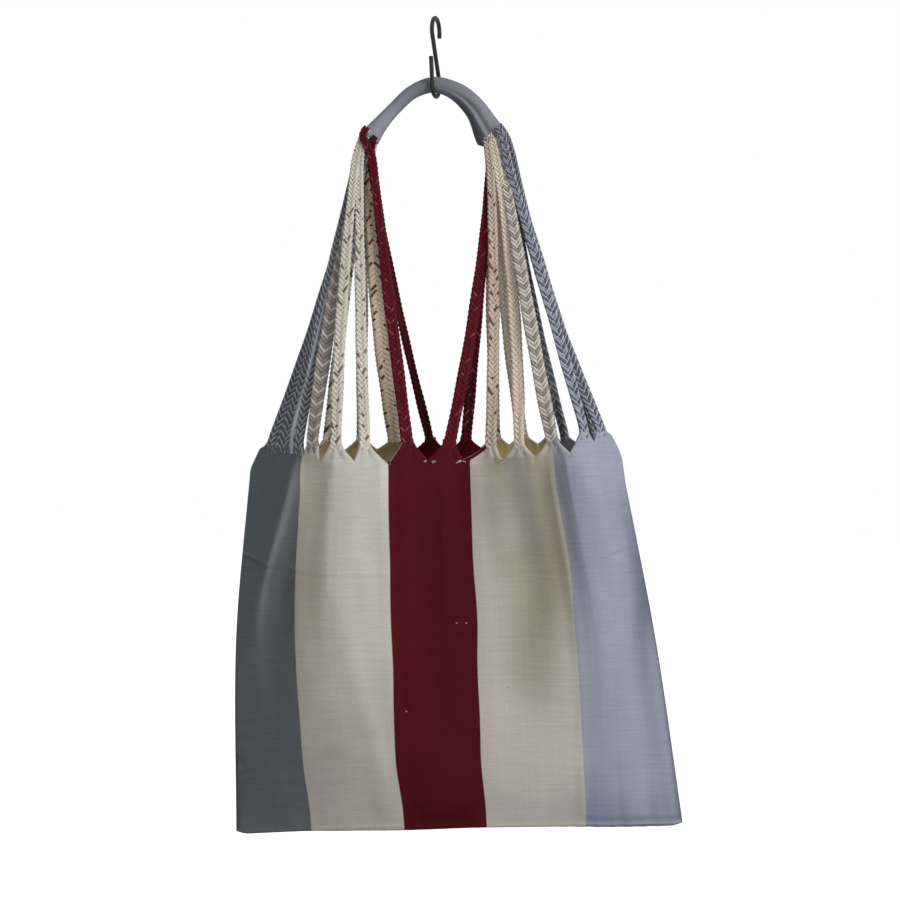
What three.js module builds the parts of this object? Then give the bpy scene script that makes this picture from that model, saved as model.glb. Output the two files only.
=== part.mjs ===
import * as THREE from "three";

// A hammock bag hanging on a plain hook. Millimetres, +Z up, +X to the right and +Y to the back.
// The origin is the inside top of the hook's upper bend, where a rail or a peg holds everything up.
// The bag is one warp-striped length folded at the bottom and sewn up both sides. The warps at its
// two open edges are gathered into braids, and a wound sleeve takes the ends of the braids.

// ---- Driving sizes ----
const CLOTH = { thickness: 1.6, gathered: 3.4, foldRadius: 2.6, width: 444 };
// A valley between two braids falls by "fall" and "share" of the gap between them. "slope" is how much
// of the fall is reached half way to it, and "shoulder" the roundness of the run down to the seams.
const SCALLOP = { fall: 3, share: 0.42, slope: 0.62, braidHalf: 5.5, shoulder: 2.6 };
// The cloth above the mouth leans in towards the handle, by this share for each millimetre of rise.
const LEAN = { across: 0.0004, deep: 0.0035 };
const BRAID = { wide: 11.5, thick: 4.6, wideTop: 6.5, thickTop: 4, wideEnd: 5.4, thickEnd: 3.9 };
// Pieces that touch are this far apart.
const GAP = 0.3;
const BRAID_FACE = 0.62;
const BRAID_STEPS = { free: 7, bundled: 3 };
const UNTWISTED_BY = 0.22;
const NARROWS_FROM = 0.5;
const HOOK = { wire: 4, inner: 9.5, drop: 67.4, tipRise: 23, tipFlare: 3 };
const HOOK_TURN = THREE.MathUtils.degToRad(17);
const HOOK_STEPS = { arc: 10, sweep: 40, corners: 4 };

// ---- Colours ----
const GREY = 0x6d7480;
const CREAM = 0xb9b19e;
const MAROON = 0x5a1a22;
const SLATE = 0x737a88;
const BLACK = 0x17171a;

// The folds and stripe edges of the front panel, left to right. "flat" is the distance from the
// left seam on the flat cloth, and each point is where that line lies, at the mouth, half way down
// and along the bottom fold.
const FRONT_FOLDS = [
  // left seam
  { flat: 0, mouth: [-176, 36, -419], middle: [-191, 48, -587], bottom: [-194, 44, -776] },
  // grey to cream
  { flat: 90, mouth: [-123, -30, -414], middle: [-132, -12, -576], bottom: [-119, 12, -763] },
  // left ridge
  { flat: 122, mouth: [-91, -55, -412], middle: [-101, -25, -574], bottom: [-88, 2, -759] },
  // cream to maroon
  { flat: 183, mouth: [-44, -44, -412], middle: [-40, -26, -573], bottom: [-30, -12, -753] },
  // maroon to cream
  { flat: 261, mouth: [32, -36, -413], middle: [38, -26, -573], bottom: [47, -20, -750] },
  // cream to grey
  { flat: 354, mouth: [105, -80, -410], middle: [132, -46, -569], bottom: [141, -28, -746] },
  // right ridge
  { flat: 374, mouth: [119, -85, -410], middle: [150, -48, -569], bottom: [161, -29, -746] },
  // right seam
  { flat: 444, mouth: [169, -25, -414], middle: [199, -8, -576], bottom: [227, -29, -745] },
];

// The back panel hangs in the same way, with its own two ridges and a shallow hollow between them.
const BACK_FOLDS = [
  FRONT_FOLDS[0],
  // left ridge
  { flat: 100, mouth: [-105, 98, -415], middle: [-114, 82, -578], bottom: [-109, 9, -762] },
  // hollow
  { flat: 222, mouth: [10, 62, -415], middle: [2, 42, -575], bottom: [9, -16, -752] },
  // right ridge
  { flat: 340, mouth: [118, 72, -412], middle: [125, 44, -570], bottom: [127, -27, -747] },
  FRONT_FOLDS[FRONT_FOLDS.length - 1],
];

// Levels down the cloth: 0 at the mouth, 1 at the bottom fold.
const MIDDLE_LEVEL = 0.47;
const LEVELS = [0.035, 0.13, 0.26, 0.4, 0.55, 0.7, 0.84, 0.95, 1];
const SEAM_RISE = { left: -1, right: 10 };

// The braids, left to right on each panel. "at" is the flat place of the gathered point, "rise" its
// height above the mouth. "column" and "row" are its place in the bundle at that end of the sleeve,
// with row counted from the front, and "bow" is how far it stands left (-) or right (+) of straight.
const FRONT_BRAIDS = [
  { at: 31, rise: 23, end: "left", column: -1, row: 1, bow: 6.5, colour: GREY },
  { at: 57, rise: 21, end: "left", column: -1, row: 0, bow: 2.5, colour: GREY },
  { at: 81, rise: 21, end: "left", column: -1, row: -1, bow: -2.5, colour: GREY },
  { at: 102, rise: 22, end: "left", column: 0, row: -1, bow: -4.5, colour: CREAM },
  { at: 127, rise: 23, end: "left", column: -1, row: -2, bow: -4, colour: CREAM },
  { at: 155, rise: 23, end: "left", column: 0, row: -2, bow: -1, colour: CREAM },
  { at: 202, rise: 24, end: "left", column: 1, row: -2, bow: 0, colour: MAROON },
  { at: 241, rise: 24, end: "right", column: -1.5, row: -0.5, bow: 3.5, colour: MAROON },
  { at: 283, rise: 22, end: "right", column: -1.5, row: -1.5, bow: 3, colour: CREAM },
  { at: 317, rise: 22, end: "right", column: -0.5, row: -1.5, bow: 5, colour: CREAM },
  { at: 353, rise: 26, end: "right", column: 0.5, row: -1.5, bow: 0.5, colour: CREAM },
  { at: 398, rise: 34, end: "right", column: 1.5, row: -1.5, bow: 3, colour: GREY },
  { at: 422, rise: 35, end: "right", column: 1.5, row: -0.5, bow: -6, colour: GREY },
];
const BACK_BRAIDS = [
  { at: 26, rise: 20, end: "left", column: -1, row: 2, bow: 6, colour: GREY },
  { at: 46, rise: 20, end: "left", column: 0, row: 0, bow: 8, colour: GREY },
  { at: 92, rise: 21, end: "left", column: 0, row: 2, bow: -2, colour: CREAM },
  { at: 133, rise: 21, end: "left", column: 0, row: 1, bow: -0.5, colour: CREAM },
  { at: 166, rise: 21, end: "left", column: 1, row: 0, bow: 1, colour: CREAM },
  { at: 205, rise: 22, end: "left", column: 1, row: -1, bow: 0, colour: MAROON },
  { at: 242, rise: 22, end: "right", column: -1.5, row: 0.5, bow: 0.5, colour: MAROON },
  { at: 272, rise: 23, end: "right", column: -1.5, row: 1.5, bow: -1, colour: CREAM },
  { at: 301, rise: 23, end: "right", column: -0.5, row: 0.5, bow: -5, colour: CREAM },
  { at: 335, rise: 24, end: "right", column: -0.5, row: 1.5, bow: 4, colour: CREAM },
  { at: 362, rise: 23, end: "right", column: 0.5, row: 0.5, bow: -2.5, colour: GREY },
  { at: 390, rise: 27, end: "right", column: 1.5, row: 1.5, bow: 1, colour: GREY },
  { at: 416, rise: 30, end: "right", column: 1.5, row: 0.5, bow: -7, colour: GREY },
];

// The arch of the wound sleeve from its left end to its right end: where its middle line lies, how
// tall it is seen from the front, and how deep from front to back.
const SLEEVE = [
  { x: -61, z: -107, tall: 19.5, deep: 22.5 },
  { x: -52.6, z: -96, tall: 15, deep: 19 },
  { x: -38, z: -80, tall: 12, deep: 15 },
  { x: -21, z: -65, tall: 13, deep: 14 },
  { x: -1, z: -58.6, tall: 14.5, deep: 14.5 },
  { x: 19, z: -65, tall: 17, deep: 15.5 },
  { x: 35, z: -79, tall: 20.5, deep: 16 },
  { x: 48, z: -99, tall: 25, deep: 18 },
  { x: 54, z: -107.3, tall: 26.5, deep: 19 },
];
const SLEEVE_SIDES = 12;
const SLEEVE_STEPS = 18;
const SLEEVE_SQUARENESS = 0.1;

// Where the braids of each half come together below the sleeve, and the spacing of the bundle.
const BUNDLES = {
  left: { gather: [-67, 0, -131], wide: 7, deep: 4.6, wideEnd: 5.8, deepEnd: 4.3 },
  right: { gather: [60.5, 0, -133], wide: 7, deep: 4.7, wideEnd: 6.1, deepEnd: 4.3 },
};

// ---- Curves ----
// A smooth curve through the values at the stations, read at one place.
function smooth(stations, values, at) {
  const last = stations.length - 1;
  let i = 0;
  while (i < last - 1 && at > stations[i + 1]) {
    i += 1;
  }
  const slope = (k) => {
    const a = Math.max(k - 1, 0);
    const b = Math.min(k + 1, last);
    return (values[b] - values[a]) / (stations[b] - stations[a]);
  };
  const span = stations[i + 1] - stations[i];
  const t = THREE.MathUtils.clamp((at - stations[i]) / span, 0, 1);
  const rise = values[i + 1] - values[i];
  const bendIn = slope(i) * span - rise;
  const bendOut = rise - slope(i + 1) * span;
  return values[i] + t * rise + t * (1 - t) * ((1 - t) * bendIn + t * bendOut);
}

// A point of a panel's middle surface, by its flat distance from the left seam and its level.
function panelPoint(folds, flat, level) {
  const flats = folds.map((fold) => fold.flat);
  const down = [0, MIDDLE_LEVEL, 1];
  const axis = (k) => {
    const values = folds.map((fold) => {
      return smooth(down, [fold.mouth[k], fold.middle[k], fold.bottom[k]], level);
    });
    return smooth(flats, values, flat);
  };
  return new THREE.Vector3(axis(0), axis(1), axis(2));
}

// A point above the mouth, where the cloth leans in towards the handle.
function brimPoint(folds, flat, rise) {
  const point = panelPoint(folds, flat, 0);
  point.x *= 1 - LEAN.across * rise;
  point.y *= 1 - LEAN.deep * rise;
  point.z += rise;
  return point;
}

// ---- Solids ----
function geometryOf(points, faces) {
  const geometry = new THREE.BufferGeometry();
  const coordinates = points.flatMap((point) => [point.x, point.y, point.z]);
  geometry.setAttribute("position", new THREE.Float32BufferAttribute(coordinates, 3));
  geometry.setIndex(faces.flat());
  geometry.computeVertexNormals();
  return geometry;
}

// A closed solid through a row of rings with the same number of points each.
function loft(rings) {
  const sides = rings[0].length;
  const faces = [];
  for (let k = 0; k + 1 < rings.length; k += 1) {
    for (let i = 0; i < sides; i += 1) {
      const a = k * sides + i;
      const b = k * sides + (i + 1) % sides;
      faces.push([a, b, b + sides], [a, b + sides, a + sides]);
    }
  }
  const end = (rings.length - 1) * sides;
  for (let i = 1; i + 1 < sides; i += 1) {
    faces.push([0, i + 1, i], [end, end + i, end + i + 1]);
  }
  return geometryOf(rings.flat(), faces);
}

// ---- Bag body ----
// The columns of a panel: both sides of each braid, the valley between two braids, and its slopes.
function panelColumns(braids) {
  const columns = [{ flat: 0, rise: SEAM_RISE.left, gathered: false }];
  const run = (from, to, profile) => profile.forEach(([t, rise]) => {
    columns.push({ flat: THREE.MathUtils.lerp(from.flat, to.flat, t), rise, gathered: false });
  });
  const shoulder = (braid, seam, t) => {
    return [t, THREE.MathUtils.lerp(braid.rise, seam.rise, t ** SCALLOP.shoulder)];
  };
  braids.forEach((braid, i) => {
    const before = columns[columns.length - 1];
    const left = { flat: braid.at - SCALLOP.braidHalf, rise: braid.rise, gathered: true };
    const right = { flat: braid.at + SCALLOP.braidHalf, rise: braid.rise, gathered: true };
    if (i === 0) {
      run(left, before, [shoulder(left, before, 2 / 3), shoulder(left, before, 1 / 3)]);
    } else {
      const fall = SCALLOP.fall + SCALLOP.share * (left.flat - before.flat);
      const valley = (before.rise + left.rise) / 2 - fall;
      const slope = (side) => THREE.MathUtils.lerp(side.rise, valley, SCALLOP.slope);
      run(before, left, [[0.25, slope(before)], [0.5, valley], [0.75, slope(left)]]);
    }
    columns.push(left, right);
  });
  const edge = columns[columns.length - 1];
  const seam = { flat: CLOTH.width, rise: SEAM_RISE.right, gathered: false };
  run(edge, seam, [shoulder(edge, seam, 1 / 3), shoulder(edge, seam, 2 / 3)]);
  columns.push(seam);
  return columns;
}

function bodyGeometry() {
  const front = panelColumns(FRONT_BRAIDS);
  const back = panelColumns(BACK_BRAIDS);
  const count = front.length;
  const pad = CLOTH.foldRadius;
  const ringAt = (place) => {
    const ring = front.map((column) => place(FRONT_FOLDS, column).add(new THREE.Vector3(0, -pad, 0)));
    ring.push(place(FRONT_FOLDS, front[count - 1]).add(new THREE.Vector3(pad, 0, 0)));
    for (let i = count - 1; i >= 0; i -= 1) {
      ring.push(place(BACK_FOLDS, back[i]).add(new THREE.Vector3(0, pad, 0)));
    }
    ring.push(place(FRONT_FOLDS, front[0]).add(new THREE.Vector3(-pad, 0, 0)));
    return ring;
  };
  const rings = [ringAt((folds, column) => brimPoint(folds, column.flat, column.rise))];
  LEVELS.forEach((level) => rings.push(ringAt((folds, column) => panelPoint(folds, column.flat, level))));

  // Each wall point is moved half the cloth's thickness out, and in, along the level normal.
  const sides = rings[0].length;
  const thick = (k, i) => {
    const column = i < count ? front[i] : back[2 * count - i];
    return k === 0 && column && column.gathered ? CLOTH.gathered : CLOTH.thickness;
  };
  const wall = (sign) => rings.map((ring, k) => ring.map((point, i) => {
    const ahead = ring[(i + 1) % sides];
    const behind = ring[(i + sides - 1) % sides];
    const normal = new THREE.Vector3(ahead.y - behind.y, behind.x - ahead.x, 0).normalize();
    return point.clone().addScaledVector(normal, sign * thick(k, i) / 2);
  }));
  const outer = wall(1);
  const inner = wall(-1);
  const last = rings.length - 1;
  inner[last].forEach((point) => {
    point.z += CLOTH.thickness;
  });

  // The rounded fold that closes the bottom of each wall.
  const foldRow = (ring, depth) => front.map((column, i) => {
    const middle = ring[i].clone().lerp(ring[2 * count - i], 0.5);
    middle.z -= depth;
    return middle;
  });
  const points = [...outer.flat(), ...inner.flat()];
  const innerStart = outer.length * sides;
  const outerFold = points.length;
  points.push(...foldRow(outer[last], CLOTH.thickness));
  const innerFold = points.length;
  points.push(...foldRow(inner[last], CLOTH.thickness / 2));

  const faces = [];
  const put = (flip, a, b, c) => faces.push(flip ? [a, c, b] : [a, b, c]);
  const wallFaces = (start, flip) => {
    for (let k = 0; k < last; k += 1) {
      for (let i = 0; i < sides; i += 1) {
        const top = start + k * sides;
        const j = (i + 1) % sides;
        put(flip, top + i, top + sides + j, top + j);
        put(flip, top + i, top + sides + i, top + sides + j);
      }
    }
  };
  const foldFaces = (start, fold, flip) => {
    const ring = start + last * sides;
    for (let i = 0; i + 1 < count; i += 1) {
      const backHere = ring + 2 * count - i;
      put(flip, ring + i, fold + i, fold + i + 1);
      put(flip, ring + i, fold + i + 1, ring + i + 1);
      put(flip, fold + i, backHere, backHere - 1);
      put(flip, fold + i, backHere - 1, fold + i + 1);
    }
    put(flip, ring + sides - 1, fold, ring);
    put(flip, ring + sides - 1, ring + 2 * count, fold);
    put(flip, ring + count, ring + count - 1, fold + count - 1);
    put(flip, ring + count, fold + count - 1, ring + count + 1);
  };
  wallFaces(0, false);
  wallFaces(innerStart, true);
  foldFaces(0, outerFold, false);
  foldFaces(innerStart, innerFold, true);
  for (let i = 0; i < sides; i += 1) {
    const j = (i + 1) % sides;
    put(false, i, j, innerStart + j);
    put(false, i, innerStart + j, innerStart + i);
  }
  return geometryOf(points, faces);
}

// ---- Handle sleeve ----
const sleeveLine = new THREE.CatmullRomCurve3(SLEEVE.map((row) => new THREE.Vector3(row.x, 0, row.z)));
const DEEP = new THREE.Vector3(0, 1, 0);

function sleeveGeometry() {
  const places = SLEEVE.map((row, i) => i / (SLEEVE.length - 1));
  const rings = [];
  for (let k = 0; k <= SLEEVE_STEPS; k += 1) {
    const t = k / SLEEVE_STEPS;
    const middle = sleeveLine.getPoint(t);
    const across = new THREE.Vector3().crossVectors(sleeveLine.getTangent(t), DEEP);
    const tall = smooth(places, SLEEVE.map((row) => row.tall), t) / 2;
    const deep = smooth(places, SLEEVE.map((row) => row.deep), t) / 2;
    const ring = [];
    for (let i = 0; i < SLEEVE_SIDES; i += 1) {
      const angle = (i / SLEEVE_SIDES) * 2 * Math.PI;
      const square = 1 + SLEEVE_SQUARENESS * Math.sin(2 * angle) ** 2;
      ring.push(middle.clone()
        .addScaledVector(DEEP, deep * square * Math.cos(angle))
        .addScaledVector(across, tall * square * Math.sin(angle)));
    }
    rings.push(ring);
  }
  return loft(rings);
}

// ---- Braids ----
// The line of a bundle from where the braids come together up to the end face of the sleeve.
function bundleLine(end) {
  const t = end === "left" ? 0 : 1;
  const face = sleeveLine.getPoint(t);
  const out = sleeveLine.getTangent(t).multiplyScalar(end === "left" ? -1 : 1);
  face.addScaledVector(out, GAP);
  const gather = new THREE.Vector3(...BUNDLES[end].gather);
  const reach = gather.distanceTo(face) * 0.5;
  return new THREE.QuadraticBezierCurve3(gather, face.clone().addScaledVector(out, reach), face);
}

// A flat plait's section: six corners about its middle, along its own width and thickness.
function braidRing(middle, across, wide, thick) {
  const deep = DEEP.clone().addScaledVector(across, -across.dot(DEEP)).normalize();
  const face = BRAID_FACE;
  const corners = [[1, 0], [face, 1], [-face, 1], [-1, 0], [-face, -1], [face, -1]];
  return corners.map(([w, t]) => middle.clone()
    .addScaledVector(across, w * wide / 2)
    .addScaledVector(deep, t * thick / 2));
}

function braidGeometry(folds, braid) {
  const bundle = BUNDLES[braid.end];
  const line = bundleLine(braid.end);
  const leftCorner = brimPoint(folds, braid.at - SCALLOP.braidHalf, braid.rise);
  const rightCorner = brimPoint(folds, braid.at + SCALLOP.braidHalf, braid.rise);
  const foot = leftCorner.clone().lerp(rightCorner, 0.5);
  foot.y += folds === FRONT_FOLDS ? -CLOTH.foldRadius : CLOTH.foldRadius;
  foot.z = Math.max(leftCorner.z, rightCorner.z) + GAP;
  const edge = rightCorner.sub(leftCorner).setZ(0).normalize();
  const right = new THREE.Vector3(1, 0, 0);
  const cell = new THREE.Vector3(...bundle.gather)
    .addScaledVector(right, braid.column * bundle.wide)
    .addScaledVector(DEEP, braid.row * bundle.deep);

  const rings = [];
  for (let k = 0; k < BRAID_STEPS.free; k += 1) {
    const t = k / BRAID_STEPS.free;
    const middle = foot.clone().lerp(cell, t);
    middle.x += braid.bow * 4 * t * (1 - t);
    const across = edge.clone().lerp(right, THREE.MathUtils.smoothstep(t, 0, UNTWISTED_BY)).normalize();
    const narrowing = THREE.MathUtils.smoothstep(t, NARROWS_FROM, 1);
    const wide = THREE.MathUtils.lerp(BRAID.wide, BRAID.wideTop, narrowing);
    const thick = THREE.MathUtils.lerp(BRAID.thick, BRAID.thickTop, t);
    rings.push(braidRing(middle, across, wide, thick));
  }
  for (let k = 0; k <= BRAID_STEPS.bundled; k += 1) {
    const t = k / BRAID_STEPS.bundled;
    const across = new THREE.Vector3().crossVectors(DEEP, line.getTangent(t)).normalize();
    const middle = line.getPoint(t)
      .addScaledVector(across, braid.column * THREE.MathUtils.lerp(bundle.wide, bundle.wideEnd, t))
      .addScaledVector(DEEP, braid.row * THREE.MathUtils.lerp(bundle.deep, bundle.deepEnd, t));
    const wide = THREE.MathUtils.lerp(BRAID.wideTop, BRAID.wideEnd, t);
    const thick = THREE.MathUtils.lerp(BRAID.thickTop, BRAID.thickEnd, t);
    rings.push(braidRing(middle, across, wide, thick));
  }
  return loft(rings);
}

// ---- Hook ----
// An S of round wire in one upright plane: the tip in front of the handle, the lower bend under it,
// the slanting shank, and the upper bend.
function hookGeometry() {
  const radius = HOOK.inner + HOOK.wire / 2;
  const lower = HOOK.inner - HOOK.drop;
  const upper = -HOOK.inner;
  const slant = Math.asin(2 * radius / (upper - lower));
  const line = [];
  const arc = (level, from, to) => {
    for (let k = 0; k <= HOOK_STEPS.arc; k += 1) {
      const angle = THREE.MathUtils.lerp(from, to, k / HOOK_STEPS.arc);
      line.push([radius * Math.cos(angle), level + radius * Math.sin(angle)]);
    }
  };
  line.push([-radius - HOOK.tipFlare, lower + HOOK.tipRise]);
  line.push([-radius - HOOK.tipFlare / 4, lower + HOOK.tipRise / 2]);
  arc(lower, Math.PI, 2 * Math.PI + slant);
  arc(upper, Math.PI + slant, 0);
  line.push([radius, upper - HOOK.inner / 2]);
  const path = new THREE.CatmullRomCurve3(line.map(([deep, z]) => new THREE.Vector3(
    deep * Math.sin(HOOK_TURN), deep * Math.cos(HOOK_TURN), z)));
  const section = new THREE.Shape().absarc(0, 0, HOOK.wire / 2, 0, 2 * Math.PI);
  return new THREE.ExtrudeGeometry(section, {
    steps: HOOK_STEPS.sweep,
    curveSegments: HOOK_STEPS.corners,
    bevelEnabled: false,
    extrudePath: path,
  });
}

// ---- The bag on its hook ----
const bag = new THREE.Group();

function add(name, geometry, colour, roughness, metalness) {
  const material = new THREE.MeshStandardMaterial({ color: colour, roughness, metalness });
  const mesh = new THREE.Mesh(geometry, material);
  mesh.name = name;
  bag.add(mesh);
}

add("bag_body", bodyGeometry(), CREAM, 0.9, 0);
FRONT_BRAIDS.forEach((braid, i) => {
  add(`braid_front_${i + 1}`, braidGeometry(FRONT_FOLDS, braid), braid.colour, 0.9, 0);
});
BACK_BRAIDS.forEach((braid, i) => {
  add(`braid_back_${i + 1}`, braidGeometry(BACK_FOLDS, braid), braid.colour, 0.9, 0);
});
add("handle_sleeve", sleeveGeometry(), SLATE, 0.85, 0);
add("hook", hookGeometry(), BLACK, 0.45, 0.6);

export default bag;
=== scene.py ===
import math

import bpy
import numpy as np
from mathutils import Matrix, Vector


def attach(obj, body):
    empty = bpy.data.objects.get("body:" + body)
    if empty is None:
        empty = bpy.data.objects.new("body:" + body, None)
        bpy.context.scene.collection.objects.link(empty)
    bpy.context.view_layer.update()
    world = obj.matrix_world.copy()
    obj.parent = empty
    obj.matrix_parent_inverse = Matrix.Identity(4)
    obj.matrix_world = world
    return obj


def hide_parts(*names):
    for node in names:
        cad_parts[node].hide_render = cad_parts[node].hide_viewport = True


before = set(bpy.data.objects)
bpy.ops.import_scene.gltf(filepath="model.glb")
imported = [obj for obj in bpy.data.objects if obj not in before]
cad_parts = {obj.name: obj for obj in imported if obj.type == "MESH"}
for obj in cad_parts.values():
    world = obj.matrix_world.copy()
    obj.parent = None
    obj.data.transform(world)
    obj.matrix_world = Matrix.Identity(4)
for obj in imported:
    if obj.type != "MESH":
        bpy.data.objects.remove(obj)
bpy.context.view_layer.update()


# ---- Studio ----
# The camera stands a little above the middle of the hanging bag and looks down at its striped front.
# A pale floor lies well under it. One broad soft lamp is at the right, and weak ones stand ahead and
# behind.
MM = 0.001
scene = bpy.context.scene
scene.view_settings.view_transform = "Standard"

looked_at = Vector((0.0132, 0.0, -0.3973))
looking_down = math.radians(4)
stands_off = 1.5
width_in_view = 0.846
floor_height = -1.06
floor_size = 9
bpy.ops.object.camera_add(
    location=looked_at + stands_off * Vector((0, -math.cos(looking_down), math.sin(looking_down))),
    rotation=(math.radians(90) - looking_down, 0, 0),
)
camera = bpy.context.object
camera.data.sensor_width = 36
camera.data.lens = camera.data.sensor_width * stands_off / width_in_view
scene.camera = camera


def paint(red, green, blue):
    """A colour as the eye names it, each part from 0 to 255, for a shader's socket."""
    parts = [c / 255 for c in (red, green, blue)]
    return [c / 12.92 if c <= 0.04045 else ((c + 0.055) / 1.055) ** 2.4 for c in parts] + [1.0]


def set_inputs(tree, node, inputs):
    """Gives each named or numbered input of a node a value, or another node's output."""
    for socket, value in inputs.items():
        if isinstance(value, bpy.types.NodeSocket):
            tree.links.new(value, node.inputs[socket])
        else:
            node.inputs[socket].default_value = value


def add_node(tree, kind, inputs=None, **settings):
    """A new shader node with its settings and inputs."""
    node = tree.nodes.new("ShaderNode" + kind)
    for setting, value in settings.items():
        setattr(node, setting, value)
    set_inputs(tree, node, inputs or {})
    return node


def wire(tree, operation, *values):
    """A Math node with these values, each a number or another node's output."""
    return add_node(tree, "Math", dict(enumerate(values)), operation=operation).outputs[0]


def material_called(name, colour, roughness):
    """A plain material, its node tree, and the Principled BSDF in it."""
    material = bpy.data.materials.new(name)
    material.use_nodes = True
    tree = material.node_tree
    shader = tree.nodes["Principled BSDF"]
    set_inputs(tree, shader, {"Base Color": colour, "Roughness": roughness})
    return material, tree, shader


def select_only(piece):
    """Makes a piece the one that is selected and worked on."""
    for other in bpy.context.selected_objects:
        other.select_set(False)
    piece.select_set(True)
    bpy.context.view_layer.objects.active = piece


def seen_directly(tree):
    """1 for what the camera or a shiny surface sees, and 0 for the light that falls on the bag."""
    rays = add_node(tree, "LightPath").outputs
    return wire(tree, "MAXIMUM", rays["Is Camera Ray"], rays["Is Glossy Ray"])


bpy.ops.mesh.primitive_plane_add(size=floor_size, location=(0, 0, floor_height))
floor = bpy.context.object
floor.name = "studio_floor"
select_only(floor)
bpy.ops.object.transform_apply(location=True, rotation=True, scale=True)
floor_white, tree, shader = material_called("studio white", paint(205, 205, 205), 0.9)
# The floor looks whiter further away from the bag, until it is as white as the backdrop.
place = add_node(tree, "TexCoord").outputs["Object"]
away = add_node(tree, "VectorMath", {0: place}, operation="LENGTH").outputs["Value"]
brighter = add_node(tree, "MapRange", {
    "Value": away, "From Min": 0.4, "From Max": 3.2, "To Min": 0.72, "To Max": 1.0,
})
set_inputs(tree, shader, {
    "Emission Color": (1, 1, 1, 1),
    "Emission Strength": wire(tree, "MULTIPLY", seen_directly(tree), brighter.outputs[0]),
})
floor.data.materials.append(floor_white)

world = bpy.data.worlds.new("studio air")
scene.world = world
world.use_nodes = True
tree = world.node_tree
tree.nodes.clear()
soft_light = add_node(tree, "Background", {"Color": (0.93, 0.96, 1.0, 1), "Strength": 0.22})
backdrop = add_node(tree, "Background", {"Color": (1, 1, 1, 1), "Strength": 1.0})
air = add_node(tree, "MixShader", {
    0: seen_directly(tree), 1: soft_light.outputs[0], 2: backdrop.outputs[0],
})
add_node(tree, "OutputWorld", {"Surface": air.outputs[0]})


def lamp(name, stands, size, watts, tint):
    """A square soft lamp turned towards the middle of the bag."""
    place = Vector(stands)
    turned = (looked_at - place).to_track_quat("-Z", "Y").to_euler()
    bpy.ops.object.light_add(type="AREA", location=place, rotation=turned)
    light = bpy.context.object
    light.name = name
    light.data.size = size
    light.data.energy = watts
    light.data.color = tint


lamp("broad lamp at the right", (1.25, -1.25, 0.6), 0.9, 26, (1.0, 0.99, 0.97))
lamp("weak lamp ahead", (-0.5, -2.4, 0.6), 1.4, 8, (1.0, 0.99, 0.98))
lamp("weak lamp behind", (-1.2, 2.2, 0.8), 1.6, 18, (1.0, 1.0, 1.0))


# ---- Striped cloth ----
# One length of heavy plain-woven cotton, 444 mm wide, with wide warp stripes. It is folded across
# the bottom and hangs from the warps at its two open edges, which are drawn together at each braid.
WIDTH = 444
PANEL_DEPTH = 355
FOLD_RADIUS = 2.6
HALF_WAY = 0.47
BRAID_HALF = 5.5
LEAN_ACROSS = 0.0004
LEAN_DEEP = 0.0035
SEAM_RISE = {"left": -1, "right": 10}

# Each fold: its distance from the left seam on the flat cloth, then where it lies at the mouth, half
# way down and along the bottom fold.
FRONT_FOLDS = [
    (0, (-176, 36, -419), (-193, 48, -587), (-194, 44, -776)),
    (90, (-123, -30, -414), (-132, -12, -576), (-119, 12, -763)),
    (122, (-91, -55, -412), (-101, -25, -574), (-88, 2, -759)),
    (183, (-44, -44, -412), (-40, -26, -573), (-30, -12, -753)),
    (261, (32, -36, -413), (38, -26, -573), (47, -20, -750)),
    (354, (105, -80, -410), (132, -46, -569), (141, -28, -746)),
    (374, (119, -85, -410), (150, -48, -569), (161, -29, -746)),
    (444, (170, -25, -414), (204, -8, -576), (228, -29, -745)),
]
BACK_FOLDS = [
    FRONT_FOLDS[0],
    (100, (-105, 98, -415), (-114, 82, -578), (-109, 9, -762)),
    (222, (10, 62, -415), (2, 42, -575), (9, -16, -752)),
    (340, (118, 72, -412), (125, 44, -570), (127, -27, -747)),
    FRONT_FOLDS[-1],
]
# Where each braid starts on the flat cloth and how far above the mouth, then the valley on its right:
# its place on the flat cloth, and how far the cloth's edge falls to it.
FRONT_FEET = [
    (31, 23, 44, 6), (58.5, 21, 71, 6), (84.5, 21, 92, 7), (100.5, 22, 108, 14), (122, 23, 144, 15),
    (156, 23, 183, 18), (202, 24, 221, 15), (240, 24, 253, 14), (284, 22, 296, 13), (317, 22, 334, 12),
    (355.5, 26, 376, 14), (397, 34, 410, 9), (420, 35, 444, 0),
]
BACK_FEET = [
    (26, 20, 36, 7), (46, 20, 69, 14), (95, 21, 112, 12), (133, 21, 150, 9), (168.5, 21, 186, 11),
    (205, 22, 224, 10), (242, 22, 257, 8), (272, 23, 286, 7), (301, 23, 318, 8), (335, 24, 348, 7),
    (353, 23, 373, 7), (399, 27, 409, 8), (421, 30, 444, 0),
]


def unit(vectors):
    """The same directions, each with a length of 1."""
    return vectors / np.linalg.norm(vectors, axis=-1, keepdims=True)


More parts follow.
